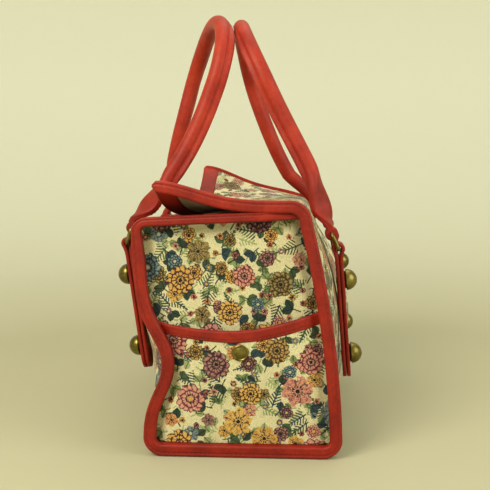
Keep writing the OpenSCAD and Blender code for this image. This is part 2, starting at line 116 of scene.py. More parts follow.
def fold_y(x):
    """Y of the line where the fold over the top ends and the flap begins."""
    return back_wall(x, BACK_HEIGHT) - FOLD_R


def free_y(x):
    """The flap's free edge, pushed in where the front handle stands against it."""
    return -FLAP_FRONT + FLAP_DENT * np.exp(-((x - STRAP_X) / DENT_W) ** 2)


def flap(x, u):
    """Point of the flap, from the fold at u = 0 to the free edge at u = 1. It sags in its middle,
    its corners curl up, and its far side stands a little higher."""
    away = np.abs(x / HALF_LENGTH)
    near_curl = (FLAP_CORNER_RISE + FLAP_SAG) * away ** 5
    far_curl = (FLAP_FAR_RISE + FLAP_SAG) * away ** 3
    rise = FLAP_RISE - FLAP_SAG + np.where(x > 0, near_curl, far_curl)
    lift = FLAP_FAR_LIFT * np.clip(-x / HALF_LENGTH, 0, 1) ** 3 * (1 - (1 - u) ** 4)
    y = fold_y(x) + (free_y(x) - fold_y(x)) * u
    z = FOLD_TOP + rise * (1 - np.cos(np.pi * u ** 1.6)) / 2 + lift
    return np.stack([x + 0 * u, y, z], -1)


def band_start(x):
    """Where the band on the free edge begins, as a share of the flap."""
    return 1 - FLAP_BAND / (fold_y(x) - free_y(x))


def offset(grid, t):
    """The grid moved by t along its normals in the YZ plane."""
    d = np.gradient(grid, axis=0)
    n = np.stack([0 * d[..., 0], d[..., 2], -d[..., 1]], -1)
    return grid + t * n / np.maximum(np.linalg.norm(n, axis=-1, keepdims=True), 1e-9)


def run_length(grid):
    """Distance along the rows, at the middle column."""
    steps = np.linalg.norm(np.diff(grid[:, grid.shape[1] // 2], axis=0), axis=1)
    return np.concatenate([[0], np.cumsum(steps)])


def new_piece(name, verts, faces, uv=None, sharp=48):
    """A mesh object at the origin from points in millimetres, with outward faces."""
    mesh = bpy.data.meshes.new(name)
    mesh.from_pydata((np.asarray(verts, float) * MM).tolist(), [], [list(map(int, f)) for f in faces])
    if uv is not None:
        layer = mesh.uv_layers.new(name="UVMap")
        loops = np.array([loop.vertex_index for loop in mesh.loops])
        layer.data.foreach_set("uv", (np.asarray(uv, float) * MM)[loops].ravel())
    tidy = bmesh.new()
    tidy.from_mesh(mesh)
    bmesh.ops.recalc_face_normals(tidy, faces=tidy.faces)
    tidy.to_mesh(mesh)
    tidy.free()
    mesh.shade_smooth()
    mesh.set_sharp_from_angle(angle=np.radians(sharp))
    piece = bpy.data.objects.new(name, mesh)
    bpy.context.collection.objects.link(piece)
    return piece


def sheet_piece(name, outer, inner, uv=None, sharp=48):
    """A thick sheet between two grids of points."""
    n, m = outer.shape[:2]
    k = np.arange(n * m).reshape(n, m)
    o = n * m
    a, b, c, d = k[:-1, :-1], k[:-1, 1:], k[1:, 1:], k[1:, :-1]
    quads = [np.stack([a, b, c, d], -1).reshape(-1, 4), o + np.stack([d, c, b, a], -1).reshape(-1, 4)]
    rim = np.concatenate([k[0, :-1], k[:-1, -1], k[-1, :0:-1], k[:0:-1, 0]])
    after = np.roll(rim, -1)
    quads.append(np.stack([after, rim, o + rim, o + after], -1))
    both = None if uv is None else np.concatenate([uv.reshape(-1, 2)] * 2)
    return new_piece(name, np.concatenate([outer.reshape(-1, 3), inner.reshape(-1, 3)]),
                     np.concatenate(quads), both, sharp)


def wall_heights(top, rows=72, turns=10):
    """Heights from the base, round the bottom fold and up the wall."""
    turn = CORNER_R * (1 - np.cos(np.linspace(0, np.pi / 2, turns, endpoint=False)))
    return np.concatenate([turn, np.linspace(CORNER_R, top, rows)])


def soften(grid, amount):
    """Low, uneven give in the stuffed walls, in millimetres, faded out at the grid's edges."""
    n, m = grid.shape[:2]
    v, u = np.linspace(0, 1, n)[:, None], np.linspace(0, 1, m)[None, :]
    fade = np.minimum(1, np.minimum(np.minimum(u, 1 - u) * 9, np.minimum(v, 1 - v) * 9))
    lumps = (np.sin(7.1 * u + 2.3 * v + 0.6) * np.sin(5.2 * v - 1.7 * u)
             + 0.6 * np.sin(15.3 * u - 6.1 * v) * np.sin(11.7 * v + 4.4 * u + 1.1)
             + 0.35 * np.sin(31 * u + 9 * v + 2) * np.sin(23 * v - 12 * u))
    return offset(grid, amount * (fade * lumps)[..., None])


def back_run(x, z, end):
    """The back sheet: up the wall at heights z, over the fold, and end of the way to the flap's band."""
    turn = np.radians(np.linspace(0, 90, 13)[1:])[:, None]
    u = np.linspace(0, end, 49)[1:, None] * band_start(x)
    return np.concatenate([
        np.stack([x + 0 * z, back_y(x, z), z + 0 * x], -1),
        np.stack([x + 0 * turn, fold_y(x) + FOLD_R * np.cos(turn),
                  BACK_HEIGHT + FOLD_R * np.sin(turn) + 0 * x], -1),
        flap(x + 0 * u, u)])


def along_cloth(grid, cut):
    """UV in millimetres of cloth, along the bag and up the wall, counted from where the panel was cut."""
    rows = run_length(grid)[:, None]
    return np.stack([grid[..., 0] + cut[0], rows + 0 * grid[..., 0] + cut[1]], -1)


FRONT_CUT, BACK_CUT, BASE_CUT = (0, 0), (37, 300), (-60, -400)
WALL_GIVE, BASE_INSET = 0.55, 0.3
WALL_X = np.linspace(-HALF_LENGTH, HALF_LENGTH, 129)[None, :]
front_z = wall_heights(FRONT_HEIGHT - TRIM_H)[:, None]
front_grid = np.stack([WALL_X + 0 * front_z, front_y(WALL_X, front_z), front_z + 0 * WALL_X], -1)
front_panel = sheet_piece("front_panel_cloth", soften(front_grid, -WALL_GIVE), offset(front_grid, CLOTH_T),
                          along_cloth(front_grid, FRONT_CUT))
back_z = wall_heights(BACK_HEIGHT)[:, None]
back_grid = back_run(WALL_X, back_z, 1)
back_panel = sheet_piece("back_panel_cloth", soften(back_grid, WALL_GIVE), offset(back_grid, -CLOTH_T),
                         along_cloth(back_grid, BACK_CUT))
base_x = WALL_X[0] * (HALF_LENGTH - BASE_INSET) / HALF_LENGTH
base_share = np.linspace(0, 1, 17)[:, None]
base_y = front_y(base_x, 0 * base_x) * (1 - base_share) + back_y(base_x, 0 * base_x) * base_share
base_grid = np.stack([base_x + 0 * base_share, base_y, 0 * base_y], -1)
base_panel = sheet_piece("base_panel_cloth", base_grid, base_grid + [0, 0, CLOTH_T],
                         base_grid[..., :2] + BASE_CUT)


# The cloth's finish. Threads in a dozen colours weave scattered blooms, leaf pairs and sprigs on a
# cream ground. The pattern is worked out on the cloth's own UV, snapped to single threads, so the
# edges of each motif step from thread to thread as they do in a woven picture.
class Thread:
    """A shader socket that takes part in Python expressions."""

    def __init__(self, tree, socket):
        self.tree, self.socket = tree, socket

    def make(self, kind, settings=None, inputs=None, out=0):
        """A new node: its settings first, then the values or links of its sockets."""
        node = self.tree.nodes.new(kind)
        for key, value in (settings or {}).items():
            if key == "stops":
                ramp = node.color_ramp
                while len(ramp.elements) < len(value):
                    ramp.elements.new(0.5)
                for element, (place, colour) in zip(ramp.elements, value):
                    element.position, element.color = place, (*colour, 1)
            elif key == "interpolation":
                node.color_ramp.interpolation = value
            else:
                setattr(node, key, value)
        for key, value in (inputs or {}).items():
            if isinstance(value, Thread):
                self.tree.links.new(value.socket, node.inputs[key])
            else:
                node.inputs[key].default_value = value
        return Thread(self.tree, node.outputs[out])

    def also(self, out):
        """Another output of the node that this socket belongs to."""
        return Thread(self.tree, self.socket.node.outputs[out])

    def math(self, operation, *others):
        """A Math node on this value and others."""
        return self.make("ShaderNodeMath", {"operation": operation}, dict(enumerate((self, *others))))

    def __add__(self, other):
        return self.math("ADD", other)

    def __sub__(self, other):
        return self.math("SUBTRACT", other)

    def __rsub__(self, other):
        return self.make("ShaderNodeMath", {"operation": "SUBTRACT"}, {0: other, 1: self})

    def __mul__(self, other):
        return self.math("MULTIPLY", other)

    def __truediv__(self, other):
        return self.math("DIVIDE", other)

    def __lt__(self, other):
        return self.math("LESS_THAN", other)

    def __gt__(self, other):
        return self.math("GREATER_THAN", other)

    __radd__, __rmul__ = __add__, __mul__

    def over(self, top, mask):
        """top laid over this colour where mask is 1."""
        return self.make("ShaderNodeMix", {"data_type": "RGBA"}, {0: mask, 6: self, 7: top}, 2)

    def ramp(self, stops, steps=True):
        """The colour that this value picks from the stops, in steps or blended."""
        kind = "CONSTANT" if steps else "LINEAR"
        return self.make("ShaderNodeValToRGB", {"interpolation": kind, "stops": stops}, {0: self})

    def parts(self):
        """The three numbers of a vector or colour."""
        split = self.make("ShaderNodeSeparateXYZ", None, {0: self})
        return split, split.also(1), split.also(2)

    def noise(self, scale, detail=2.0, rough=0.5):
        """Noise over these coordinates."""
        return self.make("ShaderNodeTexNoise", None, {"Vector": self, "Scale": scale, "Detail": detail,
                                                      "Roughness": rough})


def srgb(code):
    """Linear colour of a six-figure web colour."""
    parts = [int(code[k:k + 2], 16) / 255 for k in (0, 2, 4)]
    return tuple(p / 12.92 if p <= 0.04045 else ((p + 0.055) / 1.055) ** 2.4 for p in parts)


def even_stops(codes):
    """Ramp stops that give each colour the same share."""
    return [(k / len(codes), srgb(code)) for k, code in enumerate(codes)]


def new_finish(name, coords="Object"):
    """A material with its shader and its coordinates, in millimetres."""
    material = bpy.data.materials.new(name)
    material.use_nodes = True
    tree = material.node_tree
    shader = tree.nodes["Principled BSDF"]
    place = Thread(tree, tree.nodes.new("ShaderNodeTexCoord").outputs[coords])
    place = place.make("ShaderNodeVectorMath", {"operation": "SCALE"}, {0: place, "Scale": 1 / MM})
    return material, shader, place


def wire(shader, **inputs):
    """Values and links on the shader's sockets, with _ for a space in a socket's name."""
    for key, value in inputs.items():
        socket = shader.inputs[key.replace("_", " ")]
        if isinstance(value, Thread):
            value.tree.links.new(value.socket, socket)
        else:
            socket.default_value = value


def bumped(height, strength, distance):
    """A normal bumped by the height, with the distance in metres."""
    return height.make("ShaderNodeBump", None, {"Strength": strength, "Distance": distance, "Height": height})


WARP, WEFT = 0.44, 0.38
FULL_TURN = 2 * np.pi
HEART_DOTS, LEAVES_LOOSE = 12, 0.75
DARK_THREAD, PETAL_LIGHT, LEAF_RIB = ((*srgb(code), 1) for code in ("2b2a26", "d8c796", "10140f"))
BLOOM_PETALS = ["cfa046", "71414a", "836d38", "d08f80", "5b7883",
                "c98274", "d6a94f", "8d5d5d", "cf8a4e", "a07e3c"]
BLOOM_LINES = ["45212a", "2e171d", "33280f", "66303a", "22343b",
               "552630", "3f2028", "3a1c26", "5c2c22", "3b2618"]
BLOOM_HEARTS = ["241617", "c2ad78", "14110f", "cfa63c", "c3c59f",
                "1d1314", "241617", "15100f", "38201d", "1a1412"]
BUD_PETALS = ["d0897d", "bd665b", "5c7885", "a06a74", "cfa046", "c97f5a", "b05654"]
LEAF_COLOURS = ["2f4336", "2a3e38", "3b4e36", "48603f", "2d454c"]
SAGE_COLOURS = ["8b9b63", "9cab76", "7d8e5a", "a8b480"]

tapestry, tapestry_shader, cloth_place = new_finish("floral_tapestry", "UV")
across, up, _ = cloth_place.parts()
thread_x = (across / WARP).math("FLOOR") * WARP
thread_y = (up / WEFT).math("FLOOR") * WEFT
thread_at = across.make("ShaderNodeCombineXYZ", None, {0: thread_x, 1: thread_y})
frayed = thread_at.noise(1.9, 0.0)
jagged = (frayed - 0.5) * 0.9
wobble = thread_at.noise(0.24, 1.0) - 0.5


def scatter(pitch, shift, lie, loose):
    """Motif centres about pitch apart: the place in the nearest motif, and its three random values."""
    turned_cloth = thread_at.make("ShaderNodeVectorRotate", {"rotation_type": "Z_AXIS"},
                                  {"Vector": thread_at, "Angle": lie})
    cell = thread_at.make("ShaderNodeVectorMath", {"operation": "MULTIPLY_ADD"},
                          {0: turned_cloth, 1: (1 / pitch,) * 3, 2: (shift, shift * 0.37, 0)})
    spots = cell.make("ShaderNodeTexVoronoi", {"voronoi_dimensions": "2D"},
                      {"Vector": cell, "Scale": 1.0, "Randomness": loose})
    local = cell.make("ShaderNodeVectorMath", {"operation": "SUBTRACT"}, {0: cell, 1: spots.also(2)})
    x, y, _ = local.parts()
    return x * pitch, y * pitch, *spots.also(1).parts()


def turned_place(x, y, swing):
    """The place in a motif turned by swing: how far off its middle line, and how far along it."""
    cos, sin = swing.math("COSINE"), swing.math("SINE")
    return (x * cos + y * sin).math("ABSOLUTE"), y * cos - x * sin


def bloom(ground, pitch, radius, shift, lie, colours, few, more, hearts, loose=0.5, some=1.0):
    """Round flowers of two kinds: a dahlia with rings of small petals, and a poppy with broad,
    streaked ones. Dark lines part the petals, and a ring of dots stands round the heart."""
    x, y, pick, turn, kind = scatter(pitch, shift, lie, loose)
    far = (x * x + y * y).math("SQRT") * (1 + wobble * 0.55)
    angle = y.math("ARCTAN2", x) + wobble * 0.8
    size = radius * (0.78 + 0.3 * turn)
    full = kind > 0.42
    petals = few + (full * more * (0.55 + 0.45 * kind)).math("FLOOR")
    share = angle * petals / FULL_TURN + turn * 3
    lobe = (share.math("FRACT") - 0.5).math("ABSOLUTE")
    edge = size * (1.05 - lobe * lobe * (1.0 - full * 0.5)) + jagged
    depth = far / edge
    layers = 1 + full * 2
    layer = (depth * layers).math("FLOOR")
    side = ((share + layer * 0.5).math("FRACT") - 0.5) * 2
    step = ((depth * layers).math("FRACT") - 0.4) * 1.75
    blob = (side * side + step * step).math("SQRT") + jagged * 0.22
    streak = (angle * petals * 2.0 + frayed * 9).math("SINE") * 0.5 + depth * 0.42
    pale = (blob < 0.42) * full * 0.28 + (1 - full) * (streak < 0.12) * 0.3
    gaps = (side.math("ABSOLUTE") > 0.86) + (streak > 0.62) * (depth < 0.86)
    parted = full * (blob > 0.8) + (1 - full) * gaps * 0.8
    dots = ((angle * (HEART_DOTS / FULL_TURN)).math("FRACT") > 0.42)
    dots = dots * (far < size * (hearts + 0.22)) * (far > size * (hearts + 0.07))
    petal = pick.ramp(even_stops(colours)).over(PETAL_LIGHT, pale)
    petal = petal.over(pick.ramp(even_stops(BLOOM_LINES)), parted.math("MINIMUM", 1))
    petal = petal.over(DARK_THREAD, dots)
    petal = petal.over(pick.ramp(even_stops(BLOOM_HEARTS)), far < size * hearts + jagged * 0.4)
    return ground.over(petal, (far < edge) * (turn < some))


def leaf_pair(ground, pitch, length, shift, lie, colours, open_by, some):
    """Two pointed leaves on a short stalk, with dark ribs."""
    x, y, pick, turn, kind = scatter(pitch, shift, lie, LEAVES_LOOSE)
    a, b = turned_place(x, y, turn * FULL_TURN)
    c, s = float(np.cos(open_by)), float(np.sin(open_by))
    along, out = b * c + a * s, (a * c - b * s).math("ABSOLUTE")
    size = length * (0.75 + 0.4 * kind)
    place = along / size
    belly = place * 2 - 0.9
    half = size * 0.36 * (1 - belly * belly) + jagged * 0.5
    blade = (out < half) * (place > 0) * (place < 1)
    ribs = ((along * 0.62 + out * 0.9).math("FRACT") > 0.6) * 0.45 + (out < 0.35)
    leaf = pick.ramp(even_stops(colours)).over(LEAF_RIB, ribs.math("MINIMUM", 1) * 0.75)
    stalk = (a < 0.45) * (b < 0.6) * (b > size * -0.7)
    return ground.over(leaf, (blade + stalk).math("MINIMUM", 1) * (kind > 1 - some))


def sprig(ground, pitch, length, shift, lie, colours, some):
    """A feathery sprig with side needles."""
    x, y, pick, turn, kind = scatter(pitch, shift, lie, LEAVES_LOOSE)
    a, b = turned_place(x, y, turn * FULL_TURN + 0.8)
    place = b / length + 0.5
    reach = length * 0.42 * (1 - place) * (place > 0)
    needles = (((b - a * 0.8) * 0.42).math("FRACT") > 0.52) * (a < reach)
    stem = (a < 0.5) * (place > -0.1) * (place < 1)
    return ground.over(pick.ramp(even_stops(colours)), (needles + stem).math("MINIMUM", 1) * (kind < some))


ground_tone = thread_at.noise(2.4, 1.0).ramp([(0.3, srgb("cdc796")), (0.64, srgb("e3ddb6"))], False)
pattern = sprig(ground_tone, pitch=19, length=12, shift=7.7, lie=0.3, colours=SAGE_COLOURS, some=0.9)
pattern = leaf_pair(pattern, pitch=12, length=6.5, shift=3.1, lie=0.9, colours=SAGE_COLOURS,
                    open_by=0.7, some=0.8)
pattern = sprig(pattern, pitch=22, length=16, shift=1.9, lie=1.3, colours=LEAF_COLOURS, some=0.85)
pattern = leaf_pair(pattern, pitch=17, length=7.8, shift=5.3, lie=0.55, colours=LEAF_COLOURS,
                    open_by=0.62, some=0.9)
pattern = bloom(pattern, pitch=11.5, radius=2.5, shift=9.4, lie=0.2, colours=BUD_PETALS,
                few=5, more=1, hearts=0.36, loose=0.7, some=0.75)
pattern = bloom(pattern, pitch=21, radius=5.4, shift=2.2, lie=0.75, colours=BLOOM_PETALS,
                few=5, more=6, hearts=0.2, loose=0.6)
pattern = bloom(pattern, pitch=31, radius=9.8, shift=4.6, lie=0.42, colours=BLOOM_PETALS,
                few=6, more=9, hearts=0.15)

rib_x = ((across / WARP).math("FRACT") - 0.5).math("ABSOLUTE")
rib_y = ((up / WEFT).math("FRACT") - 0.5).math("ABSOLUTE")
weave = 1 - (rib_x * rib_x + rib_y * rib_y) * 2
fuzz = cloth_place.noise(0.9, 3.0)
soft_tone = cloth_place.noise(0.03, 2.0).ramp([(0.3, (0.86, 0.85, 0.83)), (0.7, (1, 1, 1))], False)
yarn = thread_at.make("ShaderNodeTexWhiteNoise", {"noise_dimensions": "2D"}, {"Vector": thread_at})
yarn_tone = yarn.ramp([(0.0, (0.66, 0.65, 0.64)), (0.55, (1, 1, 1))], False)
for tone in (soft_tone, yarn_tone):
    pattern = pattern.make("ShaderNodeMix", {"data_type": "RGBA", "blend_type": "MULTIPLY"},
                           {0: 1.0, 6: pattern, 7: tone}, 2)
wire(tapestry_shader, Base_Color=pattern, Roughness=0.86, Specular_IOR_Level=0.25, Sheen_Weight=0.15,
     Sheen_Roughness=0.5, Normal=bumped(weave * 0.7 + fuzz * 0.5, 0.45, 0.0003))


def dress(piece, finish, node, body="bag"):
    """Puts a finished piece in the place of its solid, on that solid's body."""
    piece.data.materials.append(finish)
    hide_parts(node)
    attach(piece, body)


dress(front_panel, tapestry, "front_panel")
dress(back_panel, tapestry, "back_panel")
dress(base_panel, tapestry, "base_panel")


# Ends and pockets. A cloth panel closes each end, drawn in a little at its middle, and a second
# panel over its lower half is an open pocket with a sagging mouth, which swells out below it.
END_TOP_FRONT, END_TOP_BACK = 163.5, 167.5
END_INSET, END_TOP_GAP, END_SET_IN, MOUTH_GAP = 2.6, 1, 1.5, 0.3
END_W, POCKET_W = 118, 112
END_DISH, END_TUCK, END_TUCK_SIDE, END_TUCK_TOP = 6, 4, 8, 9
POCKET_TUCK, POCKET_TUCK_SIDE, POCKET_SET_OUT = 3, 6, 0.9
BINDING_W, BINDING_REACH, BINDING_PROUD = 8.6, 6.4, 3
POCKET_Z, POCKET_HEIGHT, POCKET_SLOPE, POCKET_SAG, POCKET_SWELL = 8.9, 94, 7, 9, 3
ENDS = ((1, "right"), (-1, "left"))
END_CUT = {"right": (790, 75), "left": (610, 5)}
POCKET_CUT = {"right": (500, -260), "left": (360, -260)}


def end_top(u):
    """Height of an end's top edge, at the share u from front to back."""
    return END_TOP_FRONT + (END_TOP_BACK - END_TOP_FRONT) * u


def pocket_top(u):
    """Height of a pocket's sagging mouth."""
    return POCKET_HEIGHT + POCKET_SLOPE * u - POCKET_SAG * np.sin(np.pi * u)


def swell(u, v):
    """1 in the middle of a panel, 0 at its edges."""
    return np.sin(np.pi * u) * np.sin(np.pi * np.clip(v, 0, 1))


def end_grid(u, z, inset, x):
    """Points of an end sheet: u from front to back, z up, moved in by inset from the walls' faces."""
    front, back = front_y(HALF_LENGTH, z, inset), back_y(HALF_LENGTH, z, inset)
    return np.stack([x + 0 * z, front * (1 - u) + back * u, z + 0 * u], -1)


def tuck(rim, reach):
    """How far a panel has sunk beside its binding, from 1 at its edge to 0 at its face."""
    return np.exp(-(rim / reach) ** 4)


def end_x(u, z):
    """X of the end panel, dished at its middle and sunk beside its binding."""
    sides = END_TUCK * (0.8 + 0.7 * u) * tuck(END_W * np.minimum(u, 1 - u), END_TUCK_SIDE)
    sunk = np.maximum(sides, 0.7 * END_TUCK * tuck(end_top(u) - z, END_TUCK_TOP))
    return HALF_LENGTH - END_SET_IN - END_DISH * swell(u, (z / end_top(u)) ** 0.8) - sunk


def pocket_x(u, z):
    """X of the pocket, swollen below its mouth and sunk at its sides."""
    face = POCKET_SWELL * swell(u, (z - POCKET_Z) / (pocket_top(u) - POCKET_Z) * 0.6 + 0.05)
    sunk = POCKET_TUCK * tuck(POCKET_W * np.minimum(u, 1 - u), POCKET_TUCK_SIDE)
    return HALF_LENGTH + POCKET_SET_OUT + face - sunk


def pocket_inset(z):
    """How far in from the walls' faces the pocket is sewn, more at its foot."""
    return 1.3 * (BINDING_W - BINDING_PROUD) - 2.6 + 0.6 * np.maximum(0, 1 - (z - POCKET_Z) / 7)


def facing(grid, side):
    """The grid of the right end, or its mirror image for the left end."""
    return grid * [side, 1, 1]


def end_uv(grid, side, cut):
    """UV in millimetres of cloth for an end's sheet, counted from where it was cut."""
    return grid[..., 1:] * [side, 1] + cut


end_u = np.linspace(0, 1, 57)[None, :]
rise = np.linspace(0, 1, 85)[:, None]
end_z = END_INSET + (end_top(end_u) - END_TOP_GAP - END_INSET) * rise
end_face = end_grid(end_u, end_z, END_INSET, end_x(end_u, end_z))
pocket_z = POCKET_Z + (pocket_top(end_u) - TRIM_H - MOUTH_GAP - POCKET_Z) * rise
pocket_face = end_grid(end_u, pocket_z, pocket_inset(pocket_z), pocket_x(end_u, pocket_z))
ripple = (0.45 * np.sin(9 * end_u + 5 * rise) * np.sin(7 * rise - 3 * end_u)
          * np.sin(np.pi * end_u) * np.sin(np.pi * rise))
soft_pocket = pocket_face + np.stack([ripple, 0 * ripple, 0 * ripple], -1)
for side, end in ENDS:
    end_panel = sheet_piece(f"end_panel_cloth_{end}", facing(end_face, side),
                            facing(end_face - [CLOTH_T, 0, 0], side), end_uv(end_face, side, END_CUT[end]))
    end_pocket = sheet_piece(f"end_pocket_cloth_{end}", facing(soft_pocket, side),
                             facing(pocket_face - [CLOTH_T, 0, 0], side),
                             end_uv(pocket_face, side, POCKET_CUT[end]))
    dress(end_panel, tapestry, f"end_panel_{end}")
    dress(end_pocket, tapestry, f"end_pocket_{end}")


# Lining. A sack of plain taupe twill hangs inside the walls over a stiffening board, and the same
# twill faces the flap's underside. It shows at the mouth and under the flap.
LINING_IN, LINING_X, LINING_Z, LINING_T = 5.2, 116.4, 4.6, 1
SACK_FOLD = 0.08
FACING_ROWS, FACING_INSET, FACING_END = 10, 5, 0.985
FACING_GAP, FACING_T = 0.6, 0.8
twill, twill_shader, twill_place = new_finish("taupe_twill")
tx, ty, tz = twill_place.parts()
diagonal = ((tx + ty * 0.9 + tz * 1.1) * 1.3).math("FRACT")
worn = twill_place.noise(0.05, 3.0)
wire(twill_shader, Roughness=0.9, Specular_IOR_Level=0.2, Sheen_Weight=0.04,
     Base_Color=(worn + diagonal * 0.12).ramp([(0.35, srgb("76604f")), (0.75, srgb("9a806b"))], False),
     Normal=bumped(diagonal + twill_place.noise(1.5, 2.0), 0.3, 0.0002))


def sack_ring(rows, inset):
    """One closed run round the inside of the bag, at the heights that rows gives for each point."""
    length = LINING_X - inset
    w, v = np.linspace(0, 1, 49)[:-1], np.linspace(0, 1, 17)[:-1]
    x = np.concatenate([length * (2 * w - 1), length + 0 * v, length * (1 - 2 * w), -length + 0 * v])
    top = np.concatenate([FRONT_HEIGHT - 1 + 0 * w, end_top(v) - 4,
                          BACK_HEIGHT - 2 + 0 * w, end_top(1 - v) - 4])
    low, fold = LINING_Z + inset, CORNER_R - LINING_Z - inset
    z = np.where(rows < SACK_FOLD, low + fold * rows / SACK_FOLD,
                 CORNER_R + (top - CORNER_R) * (rows - SACK_FOLD) / (1 - SACK_FOLD))
    c = LINING_IN + inset
    share = np.concatenate([0 * w, v, 0 * w + 1, 1 - v])
    return np.stack([x + 0 * z, front_y(x, z, c) * (1 - share) + back_y(x, z, c) * share, z], -1)


def tube_quads(k):
    """Faces between rows of point numbers, where each row is a closed ring."""
    after = np.roll(k, -1, axis=1)
    return np.stack([k[:-1], after[:-1], after[1:], k[1:]], -1).reshape(-1, 4)


sack_rows = np.concatenate([np.linspace(0, SACK_FOLD, 7), np.linspace(SACK_FOLD, 1, 42)[1:]])[:, None]
outer_sack, inner_sack = sack_ring(sack_rows, 0), sack_ring(sack_rows, LINING_T)
rows, around = outer_sack.shape[:2]
count = rows * around
index = np.arange(count).reshape(rows, around)
mouth, after = index[-1], np.roll(index[-1], -1)
sack_faces = [*tube_quads(index), *(count + tube_quads(index)[:, ::-1]),
              *np.stack([mouth, after, count + after, count + mouth], -1)]
for ring in (index[0], count + index[0]):
    sack_faces += [(ring[k], ring[(k + 1) % around], ring[(-k - 2) % around], ring[(-k - 1) % around])
                   for k in range(around // 2 - 1)]
lining = new_piece("lining_sack", np.concatenate([outer_sack.reshape(-1, 3), inner_sack.reshape(-1, 3)]),
                   sack_faces)
dress(lining, twill, "lining")
facing_x = WALL_X * (HALF_LENGTH - FACING_INSET) / HALF_LENGTH
facing_grid = back_run(facing_x, back_z[-FACING_ROWS:], FACING_END)
flap_lining = sheet_piece("flap_lining_twill", offset(facing_grid, -CLOTH_T - FACING_GAP),
                          offset(facing_grid, -CLOTH_T - FACING_GAP - FACING_T))
dress(flap_lining, twill, "flap_lining")


# The base board. A stiff sheet of grey card lies loose between the base cloth and the lining, and
# keeps the bottom flat. Its solid has the right shape, so it only gets the look of bare card.
def finish_solid(node, finish):
    """A solid that stays as it is, with its own finish."""
    frame["nodes"][node].data.materials.clear()
    frame["nodes"][node].data.materials.append(finish)


card, card_shader, card_place = new_finish("grey_card")
fibres = card_place.noise(0.8, 4.0)
wire(card_shader, Roughness=0.92, Normal=bumped(fibres, 0.2, 0.0002),
     Base_Color=fibres.ramp([(0.3, srgb("6f675c")), (0.7, srgb("8d8578"))], False))
finish_solid("base_board", card)


# Leather edging. Strips of red, softly grained leather are folded over every raw edge: round each
# end and on along the flap's sides, over the flap's free edge, the front rim and the pocket mouths.
leather, leather_shader, leather_place = new_finish("red_leather")
pebbles = leather_place.make("ShaderNodeTexVoronoi", {"feature": "SMOOTH_F1"},
                             {"Vector": leather_place, "Scale": 1.15, "Smoothness": 0.6})
creases = leather_place.noise(0.35, 5.0, 0.62)
dye = leather_place.noise(0.045, 4.0, 0.55)
# Painted light: leather above 165 mm is lightened, by up to a fifth of the ramp at 225 mm, for the stronger
# light on the handles and the flap's edge.
painted_height_light = ((leather_place.parts()[2] - 165) / 60).math("MAXIMUM", 0).math("MINIMUM", 1)
wire(leather_shader, Specular_IOR_Level=0.26, Coat_Weight=0.03, Coat_Roughness=0.35,
     Base_Color=(dye * 0.75 + creases * 0.35 + painted_height_light * 0.2 - 0.13).ramp(
         [(0.3, srgb("741408")), (0.52, srgb("8f1f0f")), (0.76, srgb("aa321b"))], False),
     Roughness=0.4 + creases * 0.22,
     Normal=bumped(pebbles * 0.6 + creases * 0.7, 0.32, 0.00035))


ROLL_SHARP = 40


def rolls_piece(name, *rolls):
    """One mesh object from closed rolls, each a run of rings with a fan over both its ends."""
    verts, faces, first = [], [], 0
    for rings in rolls:
        n, m = rings.shape[:2]
        k = first + np.arange(n * m).reshape(n, m)
        faces += [*tube_quads(k)]
        for ring, middle in ((k[0], first + n * m), (k[-1], first + n * m + 1)):
            faces += [(middle, *pair) for pair in zip(ring, np.roll(ring, -1))]
        verts.append(np.concatenate([rings.reshape(-1, 3), rings[0].mean(0)[None], rings[-1].mean(0)[None]]))
        first += n * m + 2
    return new_piece(name, np.concatenate(verts), faces, sharp=ROLL_SHARP)


def evenly(path, step):
    """The path's points again, step apart."""
    run = np.concatenate([[0], np.cumsum(np.linalg.norm(np.diff(path, axis=0), axis=1))])
    places = np.linspace(0, run[-1], int(run[-1] / step) + 1)
    return np.stack([np.interp(places, run, path[:, k]) for k in range(path.shape[1])], -1)


def leather_piece(name, node, *rolls, body="bag"):
    """Rolls of rings as one leather piece."""
    dress(rolls_piece(name, *rolls), leather, node, body)


SEAM_STEP, SEAM_CORNER_R, SEAM_TOP_START, BLUNT_END = 2.2, 8, 7, 3.4
SEAM_GROOVE, SEAM_GROOVE_W, SEAM_GROOVE_D = 2.5, 0.75, 0.5
TOP_RUN, TOP_SLIM, TOP_SLIM_RUN = 112, 0.25, 24
TOP_TUCK, TOP_TUCK_RUN = 4, 34
STRIP_GROOVE_W, STRIP_GROOVE_D, STRIP_EDGE_W, STRIP_EDGE_D = 0.6, 0.4, 0.5, 0.5
BAND_INSET, BAND_STEP = 0.3, 0.004


def seam_path(side):
    """The line of the end seam in YZ: along the end's top, round the end, and on along the flap."""
    x, r = side * HALF_LENGTH, SEAM_CORNER_R
    y0, y1 = front_y(x, END_TOP_FRONT - r) + r, fold_y(x) + SEAM_TOP_START
    w = np.linspace(0, 1, 40)[:-1]
    corner = np.radians(np.linspace(90, 180, 12))[:-1]
    down, upward = wall_heights(END_TOP_FRONT - r)[::-1], wall_heights(BACK_HEIGHT)
    edge = flap(x + 0 * w, np.linspace(0, 1, 40)[1:])
    fold = np.radians(np.linspace(0, 90, 12))[1:]
    runs = [(y1 + (y0 - y1) * w, END_TOP_BACK + (END_TOP_FRONT - END_TOP_BACK) * w),
            (y0 + r * np.cos(corner), END_TOP_FRONT - r + r * np.sin(corner)),
            (front_y(x, down), down),
            (front_y(x, 0) + (back_y(x, 0) - front_y(x, 0)) * w[1:], 0 * w[1:]),
            (back_y(x, upward), upward),
            (fold_y(x) + FOLD_R * np.cos(fold), BACK_HEIGHT + FOLD_R * np.sin(fold)),
            (edge[:, 1], edge[:, 2])]
    return evenly(np.concatenate([np.stack(run, -1) for run in runs]), SEAM_STEP)


